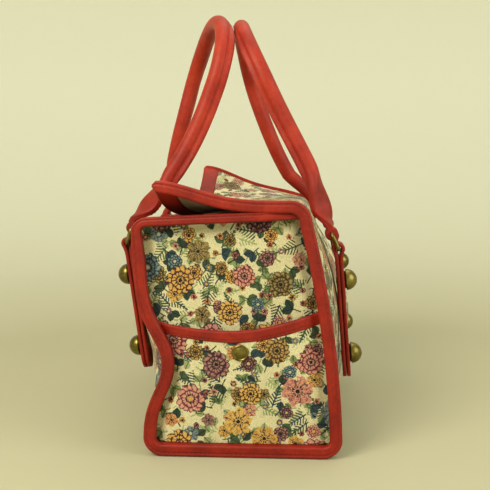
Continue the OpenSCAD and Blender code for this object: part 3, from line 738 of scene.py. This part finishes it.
def round_profile(low, high, inner, outer, bend, lip, face):
    """Closed section of a folded strip: flat at inner, rounded by bend at outer, between low and high."""
    quarter = np.radians(np.linspace(0, 90, 6))
    near = np.stack([outer - bend + bend * np.sin(quarter), low + bend - bend * np.cos(quarter)], -1)
    side = np.linspace(low + bend, high - bend, face)[1:-1]
    flat = np.stack([outer + 0 * side, side], -1)
    far = np.stack([outer - bend + bend * np.cos(quarter), high - bend + bend * np.sin(quarter)], -1)
    top = np.linspace(outer - bend, inner + lip, 7)[1:]
    return np.concatenate([[[inner, low + lip], [inner + lip, low]], near, flat, far,
                           np.stack([top, high + 0 * top], -1), [[inner, high - lip]]])


profile = round_profile(low=-BINDING_W, high=0, inner=0.3, outer=BINDING_REACH, bend=1.9, lip=0.5, face=14)
middle = profile[:, 1].mean()
pressed = SEAM_GROOVE_D * np.exp(-((profile[:, 1] + SEAM_GROOVE) / SEAM_GROOVE_W) ** 2)
depth = profile[:, 0] - pressed * (profile[:, 0] > BINDING_REACH - 0.9)
stitch_lines = {"bag": []}
for side, end in ENDS:
    path = seam_path(side)
    d = np.gradient(path, axis=0)
    normal = np.stack([d[:, 1], -d[:, 0]], -1) / np.linalg.norm(d, axis=1, keepdims=True)
    run = SEAM_STEP * np.arange(len(path))
    proud = BINDING_PROUD * (1 - np.maximum(0, -normal[:, 1]))
    blunt = np.sqrt(1 - np.clip(1 - run[::-1] / BLUNT_END, 0, 0.97) ** 2)[:, None]
    slim = 1 - TOP_SLIM * np.clip(1 - (run - TOP_RUN) / TOP_SLIM_RUN, 0, 1)
    sunk = TOP_TUCK * np.clip(1 - run / TOP_TUCK_RUN, 0, 1) ** 1.4
    height = proud[:, None] + slim[:, None] * (middle + (profile[None, :, 1] - middle) * blunt)
    rings = np.stack([side * (HALF_LENGTH + depth[None, :] - sunk[:, None]),
                      path[:, None, 0] + height * normal[:, None, 0],
                      path[:, None, 1] + height * normal[:, None, 1]], -1)
    leather_piece(f"seam_binding_leather_{end}", f"seam_binding_{end}", rings)
    groove = proud - SEAM_GROOVE * slim
    line = np.stack([side * (HALF_LENGTH + BINDING_REACH - 0.42 - sunk),
                     path[:, 0] + groove * normal[:, 0], path[:, 1] + groove * normal[:, 1]], -1)
    stitch_lines["bag"].append(line[2:-3])


def sewn_strip(name, node, point, xs, width, inner, outer, groove):
    """A strip folded over a free edge, with its sewing line. point(x, s, t) gives the place s out from
    the strip's inner edge, along the sheet, and t out of the sheet."""
    mid_t, half_t = (inner + outer) / 2, (outer - inner) / 2
    fold = width - half_t
    turn = np.radians(np.linspace(-90, 90, 11))
    face = np.linspace(0, 1, 15)[:-1]
    s = np.concatenate([fold * face, fold + half_t * np.cos(turn), fold - fold * (face + 1 / 14)])
    t = np.concatenate([inner + 0 * face, mid_t + half_t * np.sin(turn), outer + 0 * face])
    pressed = (STRIP_GROOVE_D * np.exp(-((s - groove) / STRIP_GROOVE_W) ** 2)
               + STRIP_EDGE_D * np.exp(-(s / STRIP_EDGE_W) ** 2))
    t = np.where(t > mid_t, t - pressed, t)
    leather_piece(name, node, np.stack([point(x, s, t) for x in xs]))
    sewn = np.array([groove]), np.array([outer - 0.28])
    stitch_lines["bag"].append(np.stack([point(x, *sewn)[0] for x in xs]))


def on_flap(x, s, t):
    """A place on the flap, s from the band's inner edge towards the free edge."""
    start = band_start(x)
    u = start + BAND_STEP + s / FLAP_BAND * (1 - BAND_STEP - start)
    here, behind = flap(x + 0 * u, np.minimum(1, u)), flap(x + 0 * u, np.minimum(1, u) - BAND_STEP)
    d = here - behind
    n = np.stack([0 * d[:, 0], d[:, 2], -d[:, 1]], -1) / np.linalg.norm(d, axis=1, keepdims=True)
    return here + t[:, None] * n


def on_front(x, s, t):
    """A place on the front wall, s up from the rim binding's lower edge."""
    z = FRONT_HEIGHT - TRIM_H + s
    lean = front_y(x + 0 * z, z + 0.5) - front_y(x + 0 * z, z - 0.5)
    n = np.stack([0 * z, -1 + 0 * z, lean], -1) / np.sqrt(1 + lean ** 2)[:, None]
    return np.stack([x + 0 * z, front_y(x + 0 * z, z), z], -1) + t[:, None] * n


def on_pocket(side):
    """Gives places on one end's pocket, s up from its binding's lower edge."""
    def place(u, s, t):
        z = pocket_top(u) - TRIM_H + s
        return facing(end_grid(u + 0 * z, z, pocket_inset(z), pocket_x(u, z) + t), side)
    return place


strip_x = np.linspace(-1, 1, 129)
sewn_strip("flap_band_leather", "flap_band", on_flap, strip_x * (HALF_LENGTH - BAND_INSET),
           width=FLAP_BAND, inner=-3.8, outer=0.8, groove=1.7)
sewn_strip("rim_binding_leather", "rim_binding", on_front, strip_x * HALF_LENGTH,
           width=TRIM_H, inner=-2.8, outer=0.8, groove=1.4)
for side, end in ENDS:
    sewn_strip(f"pocket_binding_leather_{end}", f"pocket_binding_{end}", on_pocket(side),
               np.linspace(0, 1, 61), width=TRIM_H, inner=-2.6, outer=0.9, groove=1.4)


# Straps. Each is a leather strip folded in two round a ring, its rounded tails laid on each other
# and studded through the wall. A row of stitches runs along the edge of the outer layer.
STRAP_W, STRAP_LAYER, STRAP_SLIT, STRAP_LENGTH = 18, 2.7, 0.4, 98
STRAP_T = 2 * STRAP_LAYER + STRAP_SLIT
LOOP_BORE, LOOP_R = 2.1, 5.0
STRAP_MARGIN, STITCH_SUNK, STITCH_TOP = 2.1, 0.22, -12
hinges = {joint["name"]: joint["pos_m"] for joint in frame["record"]["behaviour"]["joints"]}
STRAP_PLACES = {}
for row, lean, out in (("front", 7.476, -1), ("back", 3.84, 1)):
    _, hinge_y, hinge_z = hinges[f"{row}_ring_swing"]
    STRAP_PLACES[row] = hinge_y / MM, hinge_z / MM, np.radians(lean), out


def strap_point(row, x, local):
    """From a strap's own frame, y out from the wall and z up from the loop, to the bag's frame."""
    y0, z0, lean, out = STRAP_PLACES[row]
    ly, lz = out * local[..., 1], local[..., 2]
    c, s = np.cos(lean), np.sin(lean)
    return np.stack([local[..., 0] + x, y0 + ly * c - lz * s, z0 + ly * s + lz * c], -1)


def smooth_line(points, step):
    """A Catmull-Rom curve through the points, resampled."""
    p = np.concatenate([[2 * points[0] - points[1]], points, [2 * points[-1] - points[-2]]])
    w = np.linspace(0, 1, 9)[:-1, None]
    spans = [0.5 * (2 * b + (c - a) * w + (2 * a - 5 * b + 4 * c - d) * w ** 2
                    + (3 * b - a - 3 * c + d) * w ** 3)
             for a, b, c, d in zip(p, p[1:], p[2:], p[3:])]
    return evenly(np.concatenate([*spans, points[-1:]]), step)


layer_y = (STRAP_SLIT + STRAP_LAYER) / 2
bend_r = (LOOP_BORE + LOOP_R) / 2
bend = np.radians(np.linspace(-38, 218, 17))
bight = np.stack([bend_r * np.cos(bend), bend_r * np.sin(bend)], -1)
neck = np.array([[layer_y, -STRAP_LENGTH], [layer_y, -60], [layer_y, -30],
                 [layer_y, -14], [layer_y, -9.5], [layer_y + 0.25, -6.4]])
strip_path = smooth_line(np.concatenate([neck, bight, neck[::-1] * [-1, 1]]), 1.1)
strip_d = np.gradient(strip_path, axis=0)
strip_d /= np.linalg.norm(strip_d, axis=1, keepdims=True)
strip_n = np.stack([strip_d[:, 1], -strip_d[:, 0]], -1)
tail = np.minimum(STRAP_W / 2, strip_path[:, 1] + STRAP_LENGTH)
half_w = np.maximum(0.8, np.sqrt(np.maximum(0, (STRAP_W / 2) ** 2 - (STRAP_W / 2 - tail) ** 2)))
around_edge = np.radians(np.linspace(-90, 90, 7))
half_layer = STRAP_LAYER / 2
across_strip = np.linspace(-1, 1, 9)[1:-1]
strip_rings = []
for place, n, w in zip(strip_path, strip_n, half_w):
    r = min(0.9, w * 0.6)
    x = np.concatenate([w - r + r * np.cos(around_edge), (w - r) * across_strip[::-1],
                        -(w - r) - r * np.cos(around_edge), (w - r) * across_strip])
    t = np.concatenate([half_layer * np.sin(around_edge), half_layer + 0 * across_strip,
                        -half_layer * np.sin(around_edge), -half_layer + 0 * across_strip])
    pressed = 0.35 * np.exp(-((np.abs(x) - (STRAP_W / 2 - STRAP_MARGIN)) / 0.6) ** 2)
    t = np.where(t > half_layer * 0.9, t - pressed, t)
    strip_rings.append(np.stack([x, place[0] + t * n[0], place[1] + t * n[1]], -1))
strip_rings = np.stack(strip_rings)
stitch_x = STRAP_W / 2 - STRAP_MARGIN
low_turn = np.radians(np.linspace(180, 360, 25))
tail_z = -STRAP_LENGTH + STRAP_W / 2
stitch_y = STRAP_T / 2 - STITCH_SUNK
down = np.linspace(STITCH_TOP, tail_z, 20)[:-1]
strap_stitch = np.concatenate([
    np.stack([-stitch_x + 0 * down, stitch_y + 0 * down, down], -1),
    np.stack([stitch_x * np.cos(low_turn), stitch_y + 0 * low_turn,
              tail_z + stitch_x * np.sin(low_turn)], -1),
    np.stack([stitch_x + 0 * down, stitch_y + 0 * down, down[::-1]], -1)])
STRAP_ENDS = ((STRAP_X, "right"), (-STRAP_X, "left"))
for row in STRAP_PLACES:
    for x, end in STRAP_ENDS:
        leather_piece(f"strap_leather_{row}_{end}", f"strap_{row}_{end}", strap_point(row, x, strip_rings))
        stitch_lines["bag"].append(strap_point(row, x, strap_stitch))


# Studs, washers and snaps. Turned antique brass: ball studs on the straps, plain washers behind the
# walls, and a low domed snap on each pocket with its socket on the end panel.
brass, brass_shader, brass_place = new_finish("antique_brass")
tarnish = brass_place.noise(0.09, 5.0, 0.6)
rubbed = brass_place.noise(0.6, 4.0, 0.6)
wire(brass_shader, Metallic=1.0,
     Base_Color=(tarnish * 0.8 + rubbed * 0.25).ramp(
         [(0.32, srgb("4d4622")), (0.55, srgb("786c38")), (0.8, srgb("9f9252"))], False),
     Roughness=0.2 + tarnish * 0.22, Normal=bumped(rubbed, 0.06, 0.0002))
STUD_D, STUD_UPPER, STUD_LOWER = 16, 24, 80


def turned(profile, place, sides=40):
    """Rings of a turned shape: profile holds (radius, height) and place maps (x, height, z)."""
    angle = np.linspace(0, 2 * np.pi, sides, endpoint=False)
    c, s = np.cos(angle), np.sin(angle)
    return place(np.stack([np.stack([r * c, h + 0 * angle, r * s], -1) for r, h in profile]))


def brass_piece(name, node, *rolls):
    """Rolls of rings as one brass piece on the bag."""
    dress(rolls_piece(name, *rolls), brass, node)


STUD_SEAT = STRAP_T / 2 + 0.1
ball_turn = np.radians(np.linspace(-36, 88, 22))
stud_centre = STRAP_T / 2 + 0.1 * STUD_D
ball = [(STUD_D / 2 * np.cos(a), stud_centre + STUD_D / 2 * np.sin(a)) for a in ball_turn]
stud_profile = [(2, -3.5), (2, STUD_SEAT), (6.3, STUD_SEAT), (6.8, STUD_SEAT + 0.35), (6.45, STUD_SEAT + 0.9),
                *[point for point in ball if point[1] > STUD_SEAT + 0.95]]
studs = [turned(stud_profile, lambda p, row=row, x=x, z=z: strap_point(row, x, p - [0, 0, z]))
         for row in STRAP_PLACES for x in (-STRAP_X, STRAP_X) for z in (STUD_UPPER, STUD_LOWER)]
brass_piece("ball_studs_brass", "ball_studs", *studs)
SNAP_U, SNAP_R, SNAP_DROP = 0.46, 5.75, 15
snap_z = pocket_top(SNAP_U) - SNAP_DROP
snap_y = end_grid(SNAP_U, np.array(snap_z), pocket_inset(snap_z), 0)[1]
snap_x = pocket_x(SNAP_U, snap_z)
snap_profile = [(2, -4.2), (2, -3.9), (SNAP_R, -3.9), (SNAP_R, -2.3), (2, -2.3), (2, 0.3),
                (SNAP_R - 0.3, 0.3), (SNAP_R, 0.7), (SNAP_R - 0.2, 1.2), (SNAP_R - 0.7, 1.45),
                (SNAP_R - 1.15, 1.3), (SNAP_R - 1.4, 1.0), (SNAP_R - 1.8, 1.05), (SNAP_R - 2.6, 1.45),
                (SNAP_R - 4, 1.85), (0.4, 2.0)]
for side, end in ENDS:
    cap = turned(snap_profile, lambda p: np.stack([side * (snap_x + p[..., 1]), snap_y + p[..., 0],
                                                   snap_z + p[..., 2]], -1))
    brass_piece(f"snap_cap_brass_{end}", f"snap_cap_{end}", cap)
for node in ("stud_washers", "snap_socket_right", "snap_socket_left"):
    finish_solid(node, brass)


# Rings. Brass wire bent to a rounded oblong joins each strap to its handle. The lower bar turns in
# the strap's loop, and the handle's end turns on the upper bar.
WIRE_D, RING_H, RING_X, RING_BEND = 3.2, 12.4, 11.6, 3
RING_TILT = {"front": np.radians(-20), "back": np.radians(24)}
corner = np.radians(np.linspace(0, 90, 9))
quarter = RING_BEND * np.stack([np.sin(corner), 1 - np.cos(corner)], -1)
ring_path = np.concatenate([
    [RING_X - RING_BEND, 0] + quarter,
    ([RING_X - RING_BEND, RING_H] + quarter * [1, -1])[::-1],
    [RING_BEND - RING_X, RING_H] + quarter * [-1, -1],
    ([RING_BEND - RING_X, 0] + quarter * [-1, 1])[::-1]])
ring_d = np.roll(ring_path, -1, axis=0) - np.roll(ring_path, 1, axis=0)
ring_n = np.stack([ring_d[:, 1], -ring_d[:, 0]], -1) / np.linalg.norm(ring_d, axis=1, keepdims=True)
wire_turn = np.linspace(0, 2 * np.pi, 16, endpoint=False)
wire_out, wire_up = np.cos(wire_turn) * WIRE_D / 2, np.sin(wire_turn) * WIRE_D / 2
ring_rings = np.stack([np.stack([p[0] + n[0] * wire_out, wire_up, p[1] + n[1] * wire_out], -1)
                       for p, n in zip(ring_path, ring_n)])
ring_index = np.arange(ring_rings[..., 0].size).reshape(ring_rings.shape[:2])
ring_quads = tube_quads(np.concatenate([ring_index, ring_index[:1]]))
for row, tilt in RING_TILT.items():
    y0, z0 = STRAP_PLACES[row][:2]
    c, s = np.cos(tilt), np.sin(tilt)
    for x, end in STRAP_ENDS:
        hung = np.stack([ring_rings[..., 0] + x, y0 + ring_rings[..., 1] * c - ring_rings[..., 2] * s,
                         z0 + ring_rings[..., 1] * s + ring_rings[..., 2] * c], -1)
        ring = new_piece(f"ring_brass_{row}_{end}", hung.reshape(-1, 3), ring_quads)
        dress(ring, brass, f"ring_{row}_{end}", f"{row}_rings")


# Handles. Each is one leather strip rolled round a cord core and sewn shut along its inner side,
# where the edges stand out as a lip. Its ends are left flat and folded round the upper bars.
HANDLE_D, ARCH_R = 12.8, 54
HANDLE_TOP = {"front": (-30.8, 319), "back": (-9.2, 315)}
HANDLE_UPRIGHT = {"front": 6, "back": 2}
HANDLE_LEAN = {"front": (0.9, 1.25), "back": (0.93, 1.25)}
HANDLE_TWIST = {"front": (0.36, 0.3, 0, 1), "back": (0.215, 0.17, -0.62, 2)}
LIP_H, LIP_W = {"front": 0.5, "back": 0.36}, 0.27
LIP_TOP, LIP_NEAR, LIP_FAR = np.radians([86, 112, 172])
TAB_TWIST, TAB_FAR_TWIST, TAB_SHIFT = 50, 15, 2.5
TAB_LENGTH, TAB_FADE, TAB_OPEN, TAB_OPEN_RUN = 20, 34, 4, 16
LIP_BARE, LIP_FADE = 18, 28
SEW_ANGLE, SEW_OUT, SEW_START = 0.3, 1.03, 14
EDGE_CLEAR, RIM_TOP, RIM_STRIP_T = 1.4, 163, 2.6
PUSH_SPREAD, PUSH_START = 4, 7
LOOP_PROFILE = ((-1, 0.88), (-0.96, 0.96), (-0.9, 1), (-0.45, 1), (0, 1),
                (0.45, 1), (0.9, 1), (0.96, 0.96), (1, 0.88))


def bar_place(row):
    """Where a row's upper bars lie, in YZ."""
    y0, z0 = STRAP_PLACES[row][:2]
    return y0 - RING_H * np.sin(RING_TILT[row]), z0 + RING_H * np.cos(RING_TILT[row])


def ease(s, start, run):
    """0 up to start, then smoothly up to 1 over run."""
    w = np.clip((s - start) / run, 0, 1)
    return w * w * (3 - 2 * w)


def handle_path(row):
    """The roll's centre line, from the right-hand bar over the arch to the left-hand bar."""
    bar_y, bar_z = bar_place(row)
    top_y, top_z = HANDLE_TOP[row]
    arch_z = top_z - ARCH_R
    leg, arc = arch_z - bar_z, np.pi * ARCH_R / 2
    t = np.linspace(1, -1, 801)
    s = np.abs(t) * (leg + arc)
    spread = ARCH_R + (STRAP_X - ARCH_R) * ease(s, arc, leg)
    x = np.where(s < arc, ARCH_R * np.sin(s / ARCH_R), spread) * np.sign(t)
    z = np.where(s < arc, arch_z + ARCH_R * np.cos(s / ARCH_R), arch_z - np.clip(s - arc, 0, leg))
    foot = bar_z + HANDLE_UPRIGHT[row]
    up = np.clip((z - foot) / (top_z - foot), 0, 1)
    early, late = HANDLE_LEAN[row]
    lean = 1 - (1 - up ** early) ** late
    twist, soon, more, power = HANDLE_TWIST[row]
    grow = (1 - np.exp(-(up / soon) ** 1.3)) * (1 + more * up ** power)
    return evenly(np.stack([x, bar_y + (top_y - bar_y) * lean + x * twist * grow, z], -1), 2.4)


def sunk_in_bag(points, row):
    """How far points have sunk past the bag's top edge on that side."""
    x, y, z = points[..., 0], points[..., 1], points[..., 2]
    if row == "front":
        past_wall = y - front_y(x, np.minimum(z, FRONT_HEIGHT))
        return np.where(z < RIM_TOP, past_wall + RIM_STRIP_T + EDGE_CLEAR, 0)
    over = np.clip(z - BACK_HEIGHT, 0, FOLD_R + EDGE_CLEAR)
    fold = fold_y(x) + np.sqrt((FOLD_R + EDGE_CLEAR) ** 2 - over ** 2)
    wall = back_y(x, np.minimum(z, BACK_HEIGHT)) + EDGE_CLEAR
    wall = np.where(z < BACK_HEIGHT, np.maximum(fold, wall), fold)
    return np.where(over < FOLD_R + EDGE_CLEAR, wall - y, 0)


def squared(angle, power):
    """Cosine and sine of the angle, for a round section at power 1 and a flat one below it."""
    c, s = np.cos(angle), np.sin(angle)
    return np.sign(c) * np.abs(c) ** power, np.sign(s) * np.abs(s) ** power


def bar_loop(row, x):
    """The fold of a handle's end round its ring's upper bar."""
    bar_y, bar_z = bar_place(row)
    profile = [(LOOP_R * share, STRAP_W / 2 * side) for side, share in LOOP_PROFILE]
    return turned(profile, lambda p: np.stack([x + p[..., 1], bar_y + p[..., 0], bar_z + p[..., 2]], -1), 32)


roll_turn = np.linspace(0, 2 * np.pi, 64, endpoint=False)
for row, inner in (("front", 1), ("back", -1)):
    path = handle_path(row)
    d = np.gradient(path, axis=0)
    d /= np.linalg.norm(d, axis=1, keepdims=True)
    v = np.array([0, 1, 0]) - d * d[:, 1:2]
    v /= np.linalg.norm(v, axis=1, keepdims=True)
    h = np.cross(d, v)

    # The flat tabs turn into the roll and twist on the way, the near ones most.
    reach = np.minimum(np.linalg.norm(path - path[0], axis=1), np.linalg.norm(path - path[-1], axis=1))
    rolled = ease(reach, TAB_LENGTH, TAB_FADE)[:, None]
    opened = ease(reach, TAB_OPEN, TAB_OPEN_RUN) * (1 - rolled[:, 0])
    path = path + [0, inner * TAB_SHIFT, 0] * opened[:, None]
    twist = np.radians(np.where(path[:, 0] > 0, TAB_TWIST, TAB_FAR_TWIST))
    swing = (twist * opened * np.sign(path[:, 0]) * -inner)[:, None]
    h, v = h * np.cos(swing) + v * np.sin(swing), v * np.cos(swing) - h * np.sin(swing)
    rx = STRAP_W / 2 * (1 - rolled) + HANDLE_D / 2 * rolled
    ry = STRAP_T / 2 * (1 - rolled) + HANDLE_D / 2 * rolled
    power = 0.35 + 0.65 * rolled

    # The sewn lip stands out of the legs, and its seam goes on over the bare top.
    near, far = (np.clip(sign * path[:, :1] / STRAP_X, 0, 1) ** 1.5 for sign in (1, -1))
    lip_turn = inner * (LIP_TOP + (LIP_NEAR - LIP_TOP) * near + (LIP_FAR - LIP_TOP) * far)
    lip_angle = np.abs((roll_turn - lip_turn + np.pi) % (2 * np.pi) - np.pi)
    ridge = LIP_H[row] * np.exp(-(lip_angle / LIP_W) ** 4) - 0.05 * np.exp(-((lip_angle - 0.5) / 0.14) ** 2)
    lip = 1 + rolled * np.clip((np.abs(path[:, :1]) - LIP_BARE) / LIP_FADE, 0, 1) * ridge
    c, s = squared(roll_turn[None], power)
    rings = path[:, None] + h[:, None] * (rx * lip * c)[..., None] + v[:, None] * (ry * lip * s)[..., None]

    # Where the roll would sink into the bag's top edge, the stretch around it is pushed clear.
    sunk = np.maximum(0, sunk_in_bag(rings, row)).max(axis=1)
    sunk = np.array([sunk[max(0, i - PUSH_SPREAD):i + PUSH_SPREAD + 1].max() for i in range(len(sunk))])
    window = np.full(2 * PUSH_SPREAD + 1, 1 / (2 * PUSH_SPREAD + 1))
    sunk = np.convolve(np.pad(sunk, PUSH_SPREAD, mode="edge"), window, mode="valid")
    pushed = (sunk * np.clip(reach / PUSH_START, 0, 1))[:, None] * [0, -inner, 0]
    path, rings = path + pushed, rings + pushed[:, None]
    leather_piece(f"handle_leather_{row}", f"handle_{row}", rings, *(bar_loop(row, x) for x, _ in STRAP_ENDS),
                  body=f"{row}_handle")
    stitch_lines[f"{row}_handle"] = []
    for lean in (-SEW_ANGLE, SEW_ANGLE):
        c, s = squared(lip_turn + lean, power)
        line = path + h * rx * SEW_OUT * c + v * ry * SEW_OUT * s
        stitch_lines[f"{row}_handle"].append(line[reach > SEW_START])


# Stitches. Waxed red thread, a shade darker than the leather, in short even stitches along every
# strip's edge. Geometry Nodes lays one small rounded stitch at each step along the sewing lines.
thread, thread_shader, thread_place = new_finish("waxed_thread")
plies = thread_place.noise(2.2, 2.0)
wire(thread_shader, Roughness=0.5, Specular_IOR_Level=0.4, Normal=bumped(plies, 0.3, 0.0002),
     Base_Color=plies.ramp([(0.35, srgb("5f1008")), (0.7, srgb("98301d"))], False))
STITCH_PITCH, STITCH_LENGTH, STITCH_D = 3.1, 2.3, 0.62


def sewing_tree():
    """Node tree that lays stitches along curves. Its sizes are named inputs, in metres."""
    tree = bpy.data.node_groups.new("sewing", "GeometryNodeTree")
    tree.interface.new_socket("Geometry", in_out="INPUT", socket_type="NodeSocketGeometry")
    for name in ("Pitch", "Length", "Diameter"):
        tree.interface.new_socket(name, in_out="INPUT", socket_type="NodeSocketFloat")
    tree.interface.new_socket("Thread", in_out="INPUT", socket_type="NodeSocketMaterial")
    tree.interface.new_socket("Geometry", in_out="OUTPUT", socket_type="NodeSocketGeometry")
    given, result = tree.nodes.new("NodeGroupInput"), tree.nodes.new("NodeGroupOutput")

    def add(kind, links, **settings):
        """A node with its settings, then the values or links of its sockets."""
        node = tree.nodes.new(kind)
        for key, value in settings.items():
            setattr(node, key, value)
        for key, source in links.items():
            if hasattr(source, "node"):
                tree.links.new(source, node.inputs[key])
            else:
                node.inputs[key].default_value = source
        return node

    points = add("GeometryNodeCurveToPoints",
                 {"Curve": given.outputs["Geometry"], "Length": given.outputs["Pitch"]}, mode="LENGTH")
    ball = add("GeometryNodeMeshUVSphere", {"Segments": 6, "Rings": 5, "Radius": 0.5})
    size = add("ShaderNodeCombineXYZ", {"X": given.outputs["Diameter"], "Y": given.outputs["Diameter"],
                                        "Z": given.outputs["Length"]})
    stitch = add("GeometryNodeTransform", {"Geometry": ball.outputs["Mesh"], "Scale": size.outputs[0]})
    lie = add("FunctionNodeAlignRotationToVector", {"Vector": points.outputs["Tangent"]}, axis="Z")
    laid = add("GeometryNodeInstanceOnPoints",
               {"Points": points.outputs["Points"], "Instance": stitch.outputs["Geometry"],
                "Rotation": lie.outputs["Rotation"]})
    real = add("GeometryNodeRealizeInstances", {"Geometry": laid.outputs["Instances"]})
    smooth = add("GeometryNodeSetShadeSmooth", {0: real.outputs["Geometry"]})
    dyed = add("GeometryNodeSetMaterial",
               {"Geometry": smooth.outputs[0], "Material": given.outputs["Thread"]})
    tree.links.new(dyed.outputs["Geometry"], result.inputs["Geometry"])
    return tree


sewing = sewing_tree()
sizes = {"Pitch": STITCH_PITCH * MM, "Length": STITCH_LENGTH * MM, "Diameter": STITCH_D * MM,
         "Thread": thread}
for body, lines in stitch_lines.items():
    curve = bpy.data.curves.new(f"sewing_line_{body}", "CURVE")
    curve.dimensions = "3D"
    for line in lines:
        spline = curve.splines.new("POLY")
        spline.points.add(len(line) - 1)
        spline.points.foreach_set("co", np.concatenate([line * MM, np.ones((len(line), 1))], 1).ravel())
    guide = bpy.data.objects.new(f"sewing_line_{body}", curve)
    bpy.context.collection.objects.link(guide)
    modifier = guide.modifiers.new("sewing", "NODES")
    modifier.node_group = sewing
    for socket in sewing.interface.items_tree:
        if socket.in_out == "INPUT" and socket.name in sizes:
            modifier[socket.identifier] = sizes[socket.name]
    bpy.context.view_layer.update()
    mesh = bpy.data.meshes.new_from_object(guide.evaluated_get(bpy.context.evaluated_depsgraph_get()))
    bpy.data.objects.remove(guide)
    stitches = bpy.data.objects.new(f"stitches_{body}", mesh)
    bpy.context.collection.objects.link(stitches)
    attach(stitches, body)


# The stage: a pale floor that curves up all round, one large soft light from the front left, weaker
# ones from the right and above, and the camera at the near end, a little above the bag.
FLOOR_R, FLOOR_Z, BOWL_R, WALL_TOP = 1100, -0.2, 900, 2600
bowl = [(r, FLOOR_Z) for r in (20, 300, 700, FLOOR_R)]
bowl += [(FLOOR_R + BOWL_R * np.sin(a), FLOOR_Z + BOWL_R * (1 - np.cos(a)))
         for a in np.radians(np.linspace(0, 90, 14))[1:]]
bowl += [(FLOOR_R + BOWL_R, WALL_TOP)]
rings = turned(bowl, lambda p: p[..., [0, 2, 1]], 64)
index = np.arange(rings[..., 0].size).reshape(rings.shape[:2])
floor = new_piece("floor", rings.reshape(-1, 3), [*tube_quads(index), index[0]])
paper, paper_shader, paper_place = new_finish("pale_paper")
# The paper's colour runs from darker on the floor round the bag to lighter up the curve and the wall. This is
# partly a darker floor and a paler wall as tones of their own, and partly painted light that makes up for the
# weaker light on the curve.
paper_far = sum(part * part for part in paper_place.parts())
wire(paper_shader, Roughness=0.9, Specular_IOR_Level=0.15,
     Base_Color=(paper_far.math("SQRT") / WALL_TOP).ramp(
         [(0.15, srgb("b0ad92")), (0.42, srgb("dbd9c4")), (0.75, srgb("f4f5e8"))], False))
floor.data.materials.append(paper)

bpy.context.scene.world = bpy.data.worlds.new("soft_room")
bpy.context.scene.world.use_nodes = True
room = bpy.context.scene.world.node_tree.nodes["Background"]
room.inputs["Color"].default_value = (*srgb("e6e4cf"), 1)
room.inputs["Strength"].default_value = 0.82


def area_light(name, place, target, size, power, colour):
    """A round soft light at place that looks at target."""
    light = bpy.data.lights.new(name, "AREA")
    light.shape, light.size, light.energy, light.color = "DISK", size, power, srgb(colour)
    lamp = bpy.data.objects.new(name, light)
    bpy.context.collection.objects.link(lamp)
    lamp.location = place
    lamp.rotation_euler = (Vector(target) - Vector(place)).to_track_quat("-Z", "Y").to_euler()


area_light("key_light", (0.8, -0.5, 0.85), (0, 0, 0.15), 0.6, 11.5, "fff6e4")
area_light("fill_light", (0.5, 0.95, 0.6), (0, 0, 0.12), 0.9, 7, "f4f2e6")
area_light("top_light", (-0.3, 0.1, 1.4), (0, 0, 0.1), 1.0, 4.5, "fff8ea")

bpy.context.scene.view_settings.view_transform = "Standard"

IMAGE_PX, FOCAL_PX, SENSOR = 490, 785, 36
LOOK_DOWN, HEADING, ROLL = np.radians([4.888, 4.979, -0.594])
camera_data = bpy.data.cameras.new("camera")
camera_data.sensor_width, camera_data.lens = SENSOR, SENSOR * FOCAL_PX / IMAGE_PX
camera = bpy.data.objects.new("camera", camera_data)
bpy.context.collection.objects.link(camera)
camera.location = (0.6584, 0.0493, 0.1925)
level = Euler((np.pi / 2 - LOOK_DOWN, 0, np.pi / 2 + HEADING)).to_matrix()
camera.rotation_euler = (level @ Matrix.Rotation(ROLL, 3, "Z")).to_euler()
camera_data.clip_start = 0.01
bpy.context.scene.camera = camera
